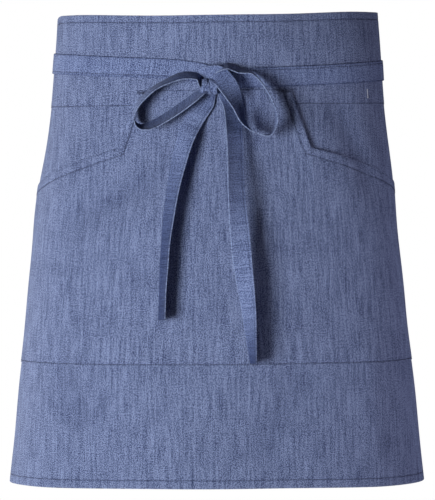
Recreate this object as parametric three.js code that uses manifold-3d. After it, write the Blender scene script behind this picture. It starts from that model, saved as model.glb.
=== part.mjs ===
// A half apron as it is worn: waistband, skirt, front pocket, and ties that run round the back to a bow.
// Millimetres, +Z up. The front faces -Y. The origin is the middle of the waist at half the band's height.

import * as THREE from 'three';
import { mergeVertices } from 'three/addons/utils/BufferGeometryUtils.js';
import loadManifold from 'manifold-3d';

// Heights of the main edges at the front.
const BAND_TOP = 50;
const BAND_SEAM = -50;
const POCKET_BOTTOM = -336;
const HEM = -470;

// Walls. A layer's inner face is given as its distance outside the wearer's form.
const GAP = 0.3;
const LAYER_GAP = 0.5;
const CLOTH = 1.2;
const BAND_CLOTH = 1.5;
const LAYER_OVER_BAND = BAND_CLOTH + LAYER_GAP;
const LAYER_OVER_TIE = LAYER_OVER_BAND + CLOTH + LAYER_GAP;
const TIE_WIDTH = 21;

// A ribbon is gathered where it goes into the knot: share of its width there, and over what length.
const GATHERED_SHARE = 0.45;
const GATHER_LENGTH = 20;

// The apron sits a little higher on its right side: rise for each millimetre of x.
const RISE = 0.011;

// The wearer's form as a stack of ellipses: half width, depth in front and depth behind.
const SECTIONS = [
  { z: 50, width: 180.5, front: 118, back: 112 },
  { z: -50, width: 187, front: 124, back: 118 },
  { z: -150, width: 201, front: 137, back: 130 },
  { z: -300, width: 216, front: 150, back: 142 },
  { z: -470, width: 233, front: 164, back: 156 },
];

// Where the skirt's two back edges run, as a turn in degrees from the front centre.
const BACK_EDGE = [
  { z: -470, turn: 140 },
  { z: -50, turn: 169.7 },
];

// Soft grooves pressed into the cloth, each between two points given by turn and height.
const GROOVES = [
  { turn: -17, z: -103, endTurn: -50, endZ: -166, depth: 2.4, reach: 22 },
  { turn: 46, z: -60, endTurn: 57, endZ: -130, depth: 2.0, reach: 22 },
  { turn: 12, z: -424, endTurn: 24, endZ: -356, depth: 2.4, reach: 24 },
  { turn: -52, z: -344, endTurn: -43, endZ: -390, depth: 2.0, reach: 22 },
];
const GROOVE_RADIUS = 185;

// Upper edge of the pocket from its centre to either side.
const POCKET_EDGE = [
  { turn: 0, z: -33 },
  { turn: 27, z: -33 },
  { turn: 32.8, z: -97 },
  { turn: 100, z: -147 },
];
const POCKET_COLUMNS = [7, 4, 13];

// How far each hand opening stands away from the skirt, where along it, and how far below its edge.
const POCKET_GAPE = [
  { turn: 40, lift: 3.2, spread: 13, drop: 34 },
  { turn: -40, lift: 0.8, spread: 13, drop: 24 },
];

// Ties round the waist: centre height and inner face, from the sewn end to the knot.
// Turn counts from the front centre, past the back at 180, to the front again at 360.
const TIE_LEFT_WRAP = [
  { turn: 163, z: -38, layer: LAYER_OVER_BAND },
  { turn: 170, z: -38, layer: LAYER_OVER_BAND },
  { turn: 180, z: -24, layer: LAYER_OVER_BAND },
  { turn: 191, z: -10, layer: LAYER_OVER_BAND },
  { turn: 225, z: -2, layer: LAYER_OVER_BAND },
  { turn: 270, z: -1, layer: LAYER_OVER_BAND },
  { turn: 330, z: -7, layer: LAYER_OVER_BAND },
  { turn: 345, z: -9, layer: LAYER_OVER_BAND },
  { turn: 354, z: -18, layer: 2.4 },
  { turn: 358.5, z: -25, layer: 6 },
];
const TIE_RIGHT_WRAP = [
  { turn: 161, z: -38, layer: LAYER_OVER_BAND },
  { turn: 169, z: -38, layer: LAYER_OVER_TIE },
  { turn: 180, z: -24, layer: LAYER_OVER_TIE },
  { turn: 191, z: -13, layer: LAYER_OVER_TIE },
  { turn: 205, z: -10, layer: LAYER_OVER_BAND },
  { turn: 270, z: -12.5, layer: LAYER_OVER_BAND },
  { turn: 325, z: -18, layer: LAYER_OVER_BAND },
  { turn: 344, z: -19, layer: LAYER_OVER_BAND },
  { turn: 354, z: -21, layer: 2.6 },
  { turn: 361, z: -25, layer: 6 },
];

// The knot's middle and half sizes. Out is the distance in front of the wearer's form.
const KNOT = { x: -7, z: -25, out: 10.4, halfWidth: 11, halfHeight: 12.5, halfDepth: 6.4 };

// Ribbons of the bow: places on the centre line as seen from the front, distance out, and the tilt of
// the width in degrees, where 0 lies flat to the front and 90 stands on edge.
const LOOP_LEFT = [
  { x: -9, z: -23, out: 11.5, tilt: 112 },
  { x: -22, z: -18.5, out: 14, tilt: 111 },
  { x: -38, z: -17, out: 14.6, tilt: 110 },
  { x: -56, z: -23.5, out: 14.6, tilt: 104 },
  { x: -71, z: -31.5, out: 14.8, tilt: 102 },
  { x: -86, z: -44, out: 15, tilt: 104 },
  { x: -92.5, z: -59, out: 15, tilt: 97 },
  { x: -88, z: -70, out: 15, tilt: 86 },
  { x: -76, z: -73, out: 15, tilt: 74 },
  { x: -56.5, z: -64, out: 15, tilt: 64 },
  { x: -35, z: -49.5, out: 15, tilt: 64 },
  { x: -19, z: -34, out: 14.5, tilt: 66 },
  { x: -8, z: -25.5, out: 12.5, tilt: 66 },
];
const LOOP_RIGHT = [
  { x: -5, z: -18, out: 11.5, tilt: 2 },
  { x: 3, z: -21, out: 15.5, tilt: 4 },
  { x: 10.5, z: -28, out: 18, tilt: 12 },
  { x: 18.2, z: -42.3, out: 19.5, tilt: 36 },
  { x: 27.7, z: -66.6, out: 21, tilt: 76 },
  { x: 41, z: -80, out: 22.5, tilt: 90 },
  { x: 58, z: -82.5, out: 25, tilt: 87 },
  { x: 65.5, z: -66, out: 26, tilt: 79 },
  { x: 60, z: -44, out: 25, tilt: 79 },
  { x: 48, z: -24.5, out: 22, tilt: 84 },
  { x: 37.6, z: -14, out: 18.5, tilt: 92 },
  { x: 24, z: -11, out: 16, tilt: 106 },
  { x: 9.5, z: -6.5, out: 15, tilt: 107 },
  { x: 1.5, z: -9.5, out: 14.5, tilt: 107 },
];
const TAIL_LEFT = [
  { x: -5, z: -28, out: 9, tilt: -16 },
  { x: -13, z: -44, out: 10, tilt: -24 },
  { x: -32, z: -79.5, out: 11, tilt: -31 },
  { x: -46, z: -129, out: 12, tilt: -45 },
  { x: -55, z: -187, out: 13.5, tilt: -60 },
  { x: -59, z: -240, out: 14.2, tilt: -67 },
  { x: -60.7, z: -285, out: 14.5, tilt: -70 },
];
const TAIL_RIGHT = [
  { x: 0, z: -24, out: 8.5, tilt: 2 },
  { x: 15, z: -42, out: 8.5, tilt: 12 },
  { x: 19, z: -80, out: 12.5, tilt: 36 },
  { x: 21.5, z: -146, out: 20, tilt: 29 },
  { x: 24.5, z: -190, out: 19.5, tilt: 6 },
  { x: 28, z: -225, out: 18.5, tilt: -17 },
  { x: 34, z: -270, out: 16.5, tilt: -42 },
  { x: 39.6, z: -332, out: 15.5, tilt: -71 },
];

// Facets.
const SKIRT_GRID = { columns: 60, rows: 15 };
const BAND_GRID = { columns: 60, rows: 2 };
const POCKET_ROWS = 10;
const TIE_STEPS = 56;
const RIBBON_STEPS = 36;
const KNOT_GRID = { around: 18, down: 12 };

const CLOTH_COLOUR = 0x6b799e;
const CLOTH_ROUGHNESS = 0.92;

const { Vector3 } = THREE;
const radians = THREE.MathUtils.degToRad;
const wasm = await loadManifold();
wasm.setup();

// A smooth function through a table's rows, which reads one column along another.
function curveThrough(rows, along, value) {
  const last = rows.length - 1;
  const slope = (i) => {
    const a = rows[Math.max(i - 1, 0)];
    const b = rows[Math.min(i + 1, last)];
    return (b[value] - a[value]) / (b[along] - a[along]);
  };
  const rising = rows[last][along] > rows[0][along];
  return (at) => {
    let i = 0;
    while (i < last - 1 && (rising ? at > rows[i + 1][along] : at < rows[i + 1][along])) {
      i += 1;
    }
    const span = rows[i + 1][along] - rows[i][along];
    const s = (at - rows[i][along]) / span;
    const step = 3 * s * s - 2 * s * s * s;
    const enter = s * (1 - s) * (1 - s);
    const leave = s * s * (s - 1);
    const mix = rows[i][value] * (1 - step) + rows[i + 1][value] * step;
    return mix + span * (enter * slope(i) + leave * slope(i + 1));
  };
}

// A function of straight stretches through a table's rows, whose first column rises.
function lineThrough(rows, along, value) {
  return (at) => {
    let i = 0;
    while (i < rows.length - 2 && at > rows[i + 1][along]) {
      i += 1;
    }
    const s = (at - rows[i][along]) / (rows[i + 1][along] - rows[i][along]);
    return rows[i][value] + s * (rows[i + 1][value] - rows[i][value]);
  };
}

const formWidth = curveThrough(SECTIONS, 'z', 'width');
const formFront = curveThrough(SECTIONS, 'z', 'front');
const formBack = curveThrough(SECTIONS, 'z', 'back');
const backEdge = lineThrough(BACK_EDGE, 'z', 'turn');
const pocketEdge = lineThrough(POCKET_EDGE, 'turn', 'z');

// Depth of the grooves at a place on the form.
function grooveDepth(turn, z) {
  let depth = 0;
  for (const groove of GROOVES) {
    const arc = radians(groove.endTurn - groove.turn) * GROOVE_RADIUS;
    const fall = groove.endZ - groove.z;
    const fromStart = radians(turn - groove.turn) * GROOVE_RADIUS;
    const share = (fromStart * arc + (z - groove.z) * fall) / (arc * arc + fall * fall);
    const near = THREE.MathUtils.clamp(share, 0, 1);
    const away = Math.hypot(fromStart - near * arc, z - groove.z - near * fall);
    depth += groove.depth * Math.exp(-((away / groove.reach) ** 2));
  }
  return depth;
}

// A point at a turn and height, lying a distance outside the wearer's form.
function onForm(turn, z, out) {
  const angle = radians(turn);
  const width = formWidth(z);
  const front = Math.cos(angle) > 0;
  const depth = front ? formFront(z) : formBack(z);
  const normal = new Vector3(depth * Math.sin(angle), -width * Math.cos(angle), 0).normalize();
  const point = new Vector3(width * Math.sin(angle), -depth * Math.cos(angle), z);
  point.addScaledVector(normal, out - (front ? grooveDepth(turn, z) : 0));
  point.z += RISE * point.x;
  return point;
}

// A closed wall from two grids of points: outer and inner, by columns to the right and rows upwards.
function wall(columns, rows, outerAt, innerAt) {
  const points = [];
  const layer = (at) => {
    const start = points.length;
    for (let i = 0; i <= columns; i += 1) {
      for (let j = 0; j <= rows; j += 1) {
        points.push(at(i / columns, j / rows));
      }
    }
    return (i, j) => start + i * (rows + 1) + j;
  };
  const outer = layer(outerAt);
  const inner = layer(innerAt);
  const index = [];
  const quad = (a, b, c, d) => index.push(a, b, c, a, c, d);
  for (let i = 0; i < columns; i += 1) {
    for (let j = 0; j < rows; j += 1) {
      quad(outer(i, j), outer(i + 1, j), outer(i + 1, j + 1), outer(i, j + 1));
      quad(inner(i, j), inner(i, j + 1), inner(i + 1, j + 1), inner(i + 1, j));
    }
    quad(outer(i, 0), inner(i, 0), inner(i + 1, 0), outer(i + 1, 0));
    quad(outer(i, rows), outer(i + 1, rows), inner(i + 1, rows), inner(i, rows));
  }
  for (let j = 0; j < rows; j += 1) {
    quad(outer(0, j), outer(0, j + 1), inner(0, j + 1), inner(0, j));
    quad(outer(columns, j), inner(columns, j), inner(columns, j + 1), outer(columns, j + 1));
  }
  const geometry = new THREE.BufferGeometry().setFromPoints(points);
  geometry.setIndex(index);
  return geometry;
}

function waistband() {
  const edge = backEdge(BAND_SEAM);
  const at = (out) => (u, v) => onForm(
    THREE.MathUtils.lerp(-edge, edge, u),
    THREE.MathUtils.lerp(BAND_SEAM, BAND_TOP, v),
    out,
  );
  return wall(BAND_GRID.columns, BAND_GRID.rows, at(BAND_CLOTH), at(0));
}

function skirtPanel() {
  const at = (out) => (u, v) => {
    const z = THREE.MathUtils.lerp(HEM, BAND_SEAM - GAP, v);
    return onForm((2 * u - 1) * backEdge(z), z, out);
  };
  return wall(SKIRT_GRID.columns, SKIRT_GRID.rows, at(CLOTH), at(0));
}

// Turns of the pocket's columns, so that a column stands at each corner of its upper edge.
function pocketTurns() {
  const half = [0];
  POCKET_COLUMNS.forEach((count, stretch) => {
    const { turn } = POCKET_EDGE[stretch];
    const end = POCKET_EDGE[stretch + 1].turn;
    for (let i = 1; i <= count; i += 1) {
      half.push(turn + ((end - turn) * i) / count);
    }
  });
  return [...half.slice(1).reverse().map((turn) => -turn), ...half];
}

// How far the pocket stands away from the skirt below its hand openings.
function pocketLift(turn, z) {
  let lift = 0;
  for (const gape of POCKET_GAPE) {
    const along = Math.exp(-(((turn - gape.turn) / gape.spread) ** 2));
    const below = Math.exp(-(((pocketEdge(Math.abs(turn)) - z) / gape.drop) ** 2));
    lift += gape.lift * along * below;
  }
  return lift;
}

function pocketPanel() {
  const turns = pocketTurns();
  const columns = turns.length - 1;
  const at = (out) => (u, v) => {
    const turn = turns[Math.round(u * columns)];
    const z = THREE.MathUtils.lerp(POCKET_BOTTOM, pocketEdge(Math.abs(turn)), v);
    return onForm(turn, z, out + pocketLift(turn, z));
  };
  return wall(columns, POCKET_ROWS, at(LAYER_OVER_BAND + CLOTH), at(LAYER_OVER_BAND));
}

// Share of a ribbon's width at a distance along it from the knot.
function gatheredShare(distance) {
  return THREE.MathUtils.lerp(GATHERED_SHARE, 1, THREE.MathUtils.smoothstep(distance, 0, GATHER_LENGTH));
}

// A tie round the waist. Side is 1 for the tie that comes to the front past -X, and -1 for the other.
function waistTie(rows, side) {
  const height = curveThrough(rows, 'turn', 'z');
  const layer = lineThrough(rows, 'turn', 'layer');
  const start = rows[0].turn;
  const end = rows[rows.length - 1].turn;
  const at = (out) => (u, v) => {
    const turn = THREE.MathUtils.lerp(start, end, side > 0 ? u : 1 - u);
    const fromKnot = radians(end - turn) * formWidth(0);
    const z = height(turn) + (v - 0.5) * TIE_WIDTH * gatheredShare(fromKnot);
    const turned = THREE.MathUtils.euclideanModulo(side * turn + 180, 360) - 180;
    return onForm(turned, z, layer(turn) + out);
  };
  return wall(TIE_STEPS, 1, at(CLOTH), at(0));
}

// A point of the bow, seen from the front at x and z, a distance in front of the form.
function inFront(x, z, out) {
  const level = z - RISE * x;
  const across = x / formWidth(level);
  return new Vector3(x, -formFront(level) * Math.sqrt(1 - across * across) - out, z);
}

// A flat ribbon along a table of places, its width tilted as the table says. It starts in the knot,
// and a loop ends there too.
function ribbon(rows, isLoop) {
  const path = new THREE.CatmullRomCurve3(rows.map(({ x, z, out }) => inFront(x, z, out)));
  const length = path.getLength();
  const steps = rows.map(({ tilt }, step) => ({ step, tilt }));
  const tiltAt = curveThrough(steps, 'step', 'tilt');
  const at = (side) => (u, v) => {
    const along = path.getTangent(u);
    const seen = new Vector3(-along.z, 0, along.x).normalize();
    const tilt = radians(tiltAt(u * (rows.length - 1)));
    const across = seen.multiplyScalar(Math.cos(tilt)).add(new Vector3(0, Math.sin(tilt), 0));
    across.addScaledVector(along, -across.dot(along)).normalize();
    const face = new Vector3().crossVectors(along, across).normalize();
    const width = TIE_WIDTH * gatheredShare(length * (isLoop ? Math.min(u, 1 - u) : u));
    const point = path.getPoint(u).addScaledVector(across, (v - 0.5) * width);
    return point.addScaledVector(face, (side * CLOTH) / 2);
  };
  return wall(RIBBON_STEPS, 1, at(1), at(-1));
}

// The knot, a rounded pillow, or the room that it needs when it is grown by a clearance.
function knotPillow(clearance) {
  const pillow = new THREE.SphereGeometry(1, KNOT_GRID.around, KNOT_GRID.down);
  const middle = inFront(KNOT.x, KNOT.z, KNOT.out);
  pillow.scale(KNOT.halfWidth + clearance, KNOT.halfHeight + clearance, KNOT.halfDepth + clearance);
  pillow.rotateX(Math.PI / 2);
  pillow.translate(middle.x, middle.y, middle.z);
  return pillow;
}

// A closed geometry as a solid that can be cut.
function solid(geometry) {
  const bare = geometry.clone();
  bare.deleteAttribute('normal');
  bare.deleteAttribute('uv');
  const merged = mergeVertices(bare);
  return new wasm.Manifold(new wasm.Mesh({
    numProp: 3,
    vertProperties: new Float32Array(merged.attributes.position.array),
    triVerts: new Uint32Array(merged.index.array),
  }));
}

// A ribbon or tie that ends just short of the knot.
function trimmedAtKnot(geometry) {
  const cut = solid(geometry).subtract(solid(knotPillow(GAP))).getMesh();
  const trimmed = new THREE.BufferGeometry();
  trimmed.setAttribute('position', new THREE.BufferAttribute(cut.vertProperties, cut.numProp));
  trimmed.setIndex(new THREE.BufferAttribute(cut.triVerts, 1));
  return trimmed;
}

function cloth(name, geometry) {
  geometry.computeVertexNormals();
  const material = new THREE.MeshStandardMaterial({
    color: CLOTH_COLOUR,
    roughness: CLOTH_ROUGHNESS,
    metalness: 0,
  });
  const mesh = new THREE.Mesh(geometry, material);
  mesh.name = name;
  return mesh;
}

const apron = new THREE.Group();
apron.add(
  cloth('waistband', waistband()),
  cloth('skirt_panel', skirtPanel()),
  cloth('pocket_panel', pocketPanel()),
  cloth('tie_left_wrap', trimmedAtKnot(waistTie(TIE_LEFT_WRAP, 1))),
  cloth('tie_right_wrap', trimmedAtKnot(waistTie(TIE_RIGHT_WRAP, -1))),
  cloth('bow_knot', knotPillow(0)),
  cloth('bow_loop_left', trimmedAtKnot(ribbon(LOOP_LEFT, true))),
  cloth('bow_loop_right', trimmedAtKnot(ribbon(LOOP_RIGHT, true))),
  cloth('tie_tail_left', trimmedAtKnot(ribbon(TAIL_LEFT, false))),
  cloth('tie_tail_right', trimmedAtKnot(ribbon(TAIL_RIGHT, false))),
);

export default apron;
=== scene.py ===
"""Looks of a half apron with its ties tied: tall waistband, flared skirt, wide front pocket and a bow.

Shapes are worked out in millimetres and degrees in the part's frame: +X to the right as seen from the
front, -Y out of the front and +Z up, with the origin in the middle of the waist. They become metres when a
mesh is made.
"""

import logging
import math
from collections.abc import Sequence
from dataclasses import dataclass, field, replace
from enum import Enum

import bpy
import numpy as np
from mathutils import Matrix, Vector


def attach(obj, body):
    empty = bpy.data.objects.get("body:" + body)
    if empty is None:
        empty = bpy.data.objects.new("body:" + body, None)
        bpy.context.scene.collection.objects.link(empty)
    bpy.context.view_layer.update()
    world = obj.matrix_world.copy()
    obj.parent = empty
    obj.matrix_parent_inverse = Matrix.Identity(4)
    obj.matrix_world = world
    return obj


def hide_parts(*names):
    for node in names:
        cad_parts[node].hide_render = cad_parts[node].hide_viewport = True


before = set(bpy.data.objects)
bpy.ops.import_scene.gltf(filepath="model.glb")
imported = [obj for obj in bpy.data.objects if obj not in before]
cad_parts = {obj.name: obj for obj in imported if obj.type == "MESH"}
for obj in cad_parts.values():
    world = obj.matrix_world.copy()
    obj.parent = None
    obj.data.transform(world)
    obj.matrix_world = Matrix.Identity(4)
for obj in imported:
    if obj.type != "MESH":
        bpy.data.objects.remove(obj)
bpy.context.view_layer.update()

LOG = logging.getLogger("half_apron")
MM = 0.001
TINY = 1e-9
HALF_TURN = 180.0
BODY = "root"
UV_NAME = "cloth"
# Mask of painted shade along sewn lines, in creases and along the edges of layers.
PRESS_SHADE = "press_shade"
# Mask of pale wear along edges; on the bow's ribbons it also paints the highlight of their lit edges.
WEAR_AND_HIGHLIGHT = "wear_and_highlight"
# Mask of painted shade on those faces of the bow's loops and tails that turn from the light, and on those
# under the loops.
FACE_SHADE = "face_shade"
OUTWARD = "outward"
NOISE_MIDDLE = 0.5
NOISE_ROUGHNESS = 0.6

Array = np.ndarray
Colour = tuple[float, float, float]
BACKWARD: Array = np.array([0.0, 1.0, 0.0])


class Slot(Enum):
    """Names of the cloth's material slots."""

    BAND = "band_cloth"
    SKIRT = "skirt_cloth"
    POCKET = "pocket_cloth"
    TIE = "tie_cloth"


class Held(Enum):
    """Ways in which a sheet of cloth is held."""

    HUNG = "hung"
    FOLDED = "folded"
    GATHERED = "gathered"
    STRETCHED = "stretched"


class Face(Enum):
    """The two faces of a sheet."""

    OUTER = 1
    INNER = -1


class Side(Enum):
    """The apron's two sides, as seen from the front. The value says which way round a tie goes."""

    LEFT = 1
    RIGHT = -1


class Edge(Enum):
    """The two edges of a strip, as places across its width."""

    LOW = -0.5
    HIGH = 0.5


def unit(vectors: Array) -> Array:
    """Vectors along the last axis, made one long."""
    return vectors / np.maximum(np.linalg.norm(vectors, axis=-1, keepdims=True), TINY)


def smoothstep(low: float, high: float, value: Array) -> Array:
    """A smooth rise from 0 at low to 1 at high."""
    share = np.clip((np.asarray(value, float) - low) / (high - low), 0.0, 1.0)
    return share * share * (3.0 - 2.0 * share)


def bump(distance: Array, reach: float) -> Array:
    """A round hump that is 1 at no distance and fades over its reach."""
    return np.exp(-((np.asarray(distance, float) / reach) ** 2))


def spans(breaks: Sequence[float], steps: Sequence[int]) -> Array:
    """Rising or falling numbers, evenly spaced from each break to the next.

    Args:
        breaks: the first number, the places where the spacing changes, and the last number.
        steps: the number of steps from each break to the next.

    Returns:
        The numbers, each break once.
    """
    stretches = zip(breaks[:-1], breaks[1:], steps)
    parts = [np.linspace(start, end, count, endpoint=False) for start, end, count in stretches]
    return np.append(np.concatenate(parts), breaks[-1])


def lengths_along(points: Array) -> Array:
    """Length along a line of points, from 0 at its first point."""
    return np.append(0.0, np.cumsum(np.linalg.norm(np.diff(points, axis=0), axis=-1)))


def off_stretch(across: Array, up: Array, run: float, fall: float) -> Array:
    """Distance of places on flat cloth from a straight stretch.

    Args:
        across: level distance of each place from the stretch's start.
        up: height of each place above the stretch's start.
        run: level distance from the stretch's start to its end.
        fall: height of its end above its start.

    Returns:
        The distance to the nearest point of the stretch.
    """
    share = np.clip((across * run + up * fall) / (run * run + fall * fall), 0, 1)
    return np.hypot(across - share * run, up - share * fall)


def add_object(name: str, data: bpy.types.ID) -> bpy.types.Object:
    """Adds an object to the scene.

    Args:
        name: the object's name.
        data: its mesh, light or camera.

    Returns:
        The object, at the origin.
    """
    made = bpy.data.objects.new(name, data)
    bpy.context.scene.collection.objects.link(made)
    return made


class SmoothCurve:
    """A smooth function through the rows of a table."""

    def __init__(self, along: Sequence[float], value: Sequence[float]) -> None:
        """Keeps the rows in rising order with the slope at each.

        Args:
            along: the column that the function is read along.
            value: the column that it gives.
        """
        order = np.argsort(along)
        self.along = np.asarray(along, float)[order]
        self.value = np.asarray(value, float)[order]
        ahead = np.append(np.arange(1, len(order)), len(order) - 1)
        behind = np.append(0, np.arange(len(order) - 1))
        self.slope = (self.value[ahead] - self.value[behind]) / (self.along[ahead] - self.along[behind])

    def __call__(self, at: Array | float) -> Array:
        """The function's value.

        Args:
            at: places along the first column.

        Returns:
            The value at each place.
        """
        at = np.asarray(at, float)
        i = np.clip(np.searchsorted(self.along, at) - 1, 0, len(self.along) - 2)
        span = self.along[i + 1] - self.along[i]
        s = (at - self.along[i]) / span
        step = s * s * (3 - 2 * s)
        enter = s * (1 - s) ** 2 * self.slope[i]
        leave = s * s * (s - 1) * self.slope[i + 1]
        return self.value[i] * (1 - step) + self.value[i + 1] * step + span * (enter + leave)


class SpacePath:
    """A smooth path through points in space, with centripetal spacing so that it makes no kinks."""

    def __init__(self, points: Array) -> None:
        """Keeps the points with one more past each end.

        Args:
            points: the points that the path goes through.
        """
        first = 2 * points[0] - points[1]
        last = 2 * points[-1] - points[-2]
        self.points = np.vstack([first, points, last])
        self.stretches = len(points) - 1

    def __call__(self, share: Array) -> Array:
        """Points of the path.

        Args:
            share: from 0 at the first point to 1 at the last, the same for each stretch.

        Returns:
            A point for each share.
        """
        at = np.clip(share, 0.0, 1.0) * self.stretches
        i = np.minimum(at.astype(int), self.stretches - 1)
        s = (at - i)[:, None]
        a, b, c, d = (self.points[i + k] for k in range(4))
        before, over, after = (
            np.sqrt(np.linalg.norm(q - p, axis=1, keepdims=True)) for p, q in ((a, b), (b, c), (c, d))
        )
        enter = ((b - a) / before - (c - a) / (before + over)) * over + (c - b)
        leave = ((d - c) / after - (d - b) / (over + after)) * over + (c - b)
        step = s * s * (3 - 2 * s)
        return b * (1 - step) + c * step + s * (1 - s) ** 2 * enter + s * s * (s - 1) * leave


@dataclass(frozen=True)
class Section:
    """An oval section: height, half width, and depth in front and behind."""

    z: float
    width: float
    front: float
    back: float


@dataclass(frozen=True)
class Groove:
    """A soft groove pressed into the cloth between two places."""

    turn: float
    z: float
    end_turn: float
    end_z: float
    depth: float
    reach: float


@dataclass(frozen=True)
class SoftWaves:
    """Shallow undulations of the cloth, alike on every layer. They lean by up to an angle in radians."""

    count: int = 16
    shortest: float = 60.0
    longest: float = 190.0
    most_lean: float = 0.9
    depth: float = 0.34
    tight_share: float = 0.3
    tight_above: float = -50.0
    loose_below: float = -150.0
    fade_from: float = 105.0
    fade_to: float = 140.0
    seed: int = 11

    def __call__(self, turn: Array, arc: Array, z: Array) -> Array:
        """How far the cloth stands out.

        Args:
            turn: degrees from the front centre.
            arc: length along the cloth from the front centre.
            z: height.

        Returns:
            The offset at each place.
        """
        rng = np.random.default_rng(self.seed)
        total = np.zeros(np.broadcast(arc, z).shape)
        for _ in range(self.count):
            wave = rng.uniform(self.shortest, self.longest)
            lean = rng.uniform(-self.most_lean, self.most_lean)
            start = rng.uniform(0.0, 2 * math.pi)
            phase = 2 * math.pi * (arc * math.cos(lean) + z * math.sin(lean)) / wave + start
            total = total + np.sin(phase) * wave / self.longest
        loose = smoothstep(self.tight_above, self.loose_below, z)
        strength = self.depth * (self.tight_share + (1 - self.tight_share) * loose)
        return total * strength * (1 - smoothstep(self.fade_from, self.fade_to, np.abs(turn)))


@dataclass
class WaistForm:
    """The oval form that every layer of cloth follows, and the grooves that the cloth has there."""

    rise_heights: tuple[float, float] = (-470.0, 50.0)
    rises: tuple[float, float] = (0.004, 0.0130)
    groove_radius: float = 185.0
    arc_height: float = -100.0
    arc_steps: int = 361
    sections: tuple[Section, ...] = (
        Section(50, 180.5, 118, 112),
        Section(-50, 187, 124, 118),
        Section(-150, 201, 137, 130),
        Section(-300, 216, 150, 142),
        Section(-470, 233, 164, 156),
    )
    grooves: tuple[Groove, ...] = (
        Groove(-14, -104, -26, -141, 3.2, 15),
        Groove(-26, -141, -50, -170, 3.0, 17),
        Groove(46, -60, 57, -130, 3.2, 20),
        Groove(12, -424, 24, -356, 3.2, 22),
        Groove(-52, -344, -43, -390, 3.0, 20),
    )
    swells: tuple[Groove, ...] = (
        Groove(92, -200, 92, -275, 3.6, 70),
        Groove(-90, -150, -90, -165, -2.2, 40),
        Groove(-90, 40, -90, 55, 1.8, 50),
        Groove(8, 120, 8, 95, -9.0, 85),
        Groove(34, 62, 75, 62, 6.0, 38),
        Groove(50, -325, 48, -480, -2.8, 24),
    )
    # Painted shade along the grooves: its strength, and its width as a share of each groove's reach.
    crease_shade_strength: float = 0.55
    crease_shade_share: float = 0.8
    side_heights: tuple[float, ...] = (-470.0, -336.0, -50.0, 50.0)
    side_shifts: tuple[float, ...] = (-3.0, -1.2, -0.6, 3.0)
    side_from: float = 15.0
    side_to: float = 62.0
    waves: SoftWaves = SoftWaves()

    def __post_init__(self) -> None:
        """Makes the smooth sizes, and the table of arc lengths."""
        heights = [section.z for section in self.sections]
        self.width = SmoothCurve(heights, [section.width for section in self.sections])
        self.front = SmoothCurve(heights, [section.front for section in self.sections])
        self.back = SmoothCurve(heights, [section.back for section in self.sections])
        self.side_shift = SmoothCurve(self.side_heights, self.side_shifts)
        self.arc_turns = np.linspace(0.0, HALF_TURN, self.arc_steps)
        angle = np.radians(self.arc_turns)
        x = self.width(self.arc_height) * np.sin(angle)
        y = self.front(self.arc_height) * np.cos(angle)
        self.arc_lengths = lengths_along(np.stack([x, y], -1))

    def arc(self, turn: Array) -> Array:
        """Length along the cloth from the front centre to a turn, below zero on the left."""
        return np.sign(turn) * np.interp(np.abs(turn), self.arc_turns, self.arc_lengths)

    def turn_at(self, arc: Array) -> Array:
        """The turn at a length along the cloth from the front centre."""
        return np.sign(arc) * np.interp(np.abs(arc), self.arc_lengths, self.arc_turns)

    def rise(self, z: Array) -> Array:
        """How much the apron's right side is higher, for each millimetre to the right."""
        return np.interp(z, self.rise_heights, self.rises)

    def depth(self, angle: Array, z: Array) -> Array:
        """Depth of the section at a height, in front or behind as the angle in radians says."""
        return np.where(np.cos(angle) > 0, self.front(z), self.back(z))

    def groove_depth(self, grooves: Sequence[Groove], turn: Array, z: Array) -> Array:
        """Depth of some grooves together.

        Args:
            grooves: the grooves.
            turn: degrees from the front centre.
            z: height.

        Returns:
            The depth at each place.
        """
        depth = np.zeros(np.broadcast(turn, z).shape)
        for groove in grooves:
            run = math.radians(groove.end_turn - groove.turn) * self.groove_radius
            across = np.radians(turn - groove.turn) * self.groove_radius
            away = off_stretch(across, z - groove.z, run, groove.end_z - groove.z)
            depth = depth + groove.depth * bump(away, groove.reach)
        return depth

    def crease(self, turn: Array, z: Array) -> Array:
        """How strongly painted shade darkens the cloth along its grooves at a turn and height, from 0 to 1.
        """
        lines = [replace(line, depth=1.0, reach=line.reach * self.crease_shade_share) for line in self.grooves]
        return self.crease_shade_strength * np.minimum(self.groove_depth(lines, turn, z), 1.0)

    def normal(self, turn: Array, z: Array) -> Array:
        """The level direction out of the form.

        Args:
            turn: degrees from the front centre.
            z: height.

        Returns:
            A direction one long for each place.
        """
        angle = np.radians(turn)
        x = self.depth(angle, z) * np.sin(angle)
        y = -self.width(z) * np.cos(angle)
        return unit(np.stack(np.broadcast_arrays(x, y, np.zeros_like(angle)), -1))

    def on(self, turn: Array, z: Array, out: Array | float) -> Array:
        """Points of a cloth layer.

        Args:
            turn: degrees from the front centre, to the right.
            z: height before the apron's tilt.
            out: distance outside the form.

        Returns:
            The points, with the grooves and waves of the cloth in them.
        """
        turn, z, out = np.broadcast_arrays(*(np.asarray(part, float) for part in (turn, z, out)))
        angle = np.radians(turn)
        foot = np.stack([self.width(z) * np.sin(angle), -self.depth(angle, z) * np.cos(angle), z], -1)
        offset = out - np.where(np.cos(angle) > 0, self.groove_depth(self.grooves, turn, z), 0.0)
        offset = offset - self.groove_depth(self.swells, turn, z)
        offset = offset + self.waves(turn, self.arc(turn), z)
        points = foot + self.normal(turn, z) * offset[..., None]
        points[..., 2] += self.rise(z) * points[..., 0]
        points[..., 2] += self.side_shift(z) * smoothstep(self.side_from, self.side_to, np.abs(turn))
        return points

    def in_front(self, x: Array, z: Array, out: Array) -> Array:
        """Points in front of the form, as they are seen from the front.

        Args:
            x: place to the right.
            z: height.
            out: distance in front of the form.

        Returns:
            The points.
        """
        level = z - self.rise(z) * x
        across = x / self.width(level)
        y = -self.front(level) * np.sqrt(1 - across * across) - out
        return np.stack(np.broadcast_arrays(x, y, z), -1)


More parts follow.
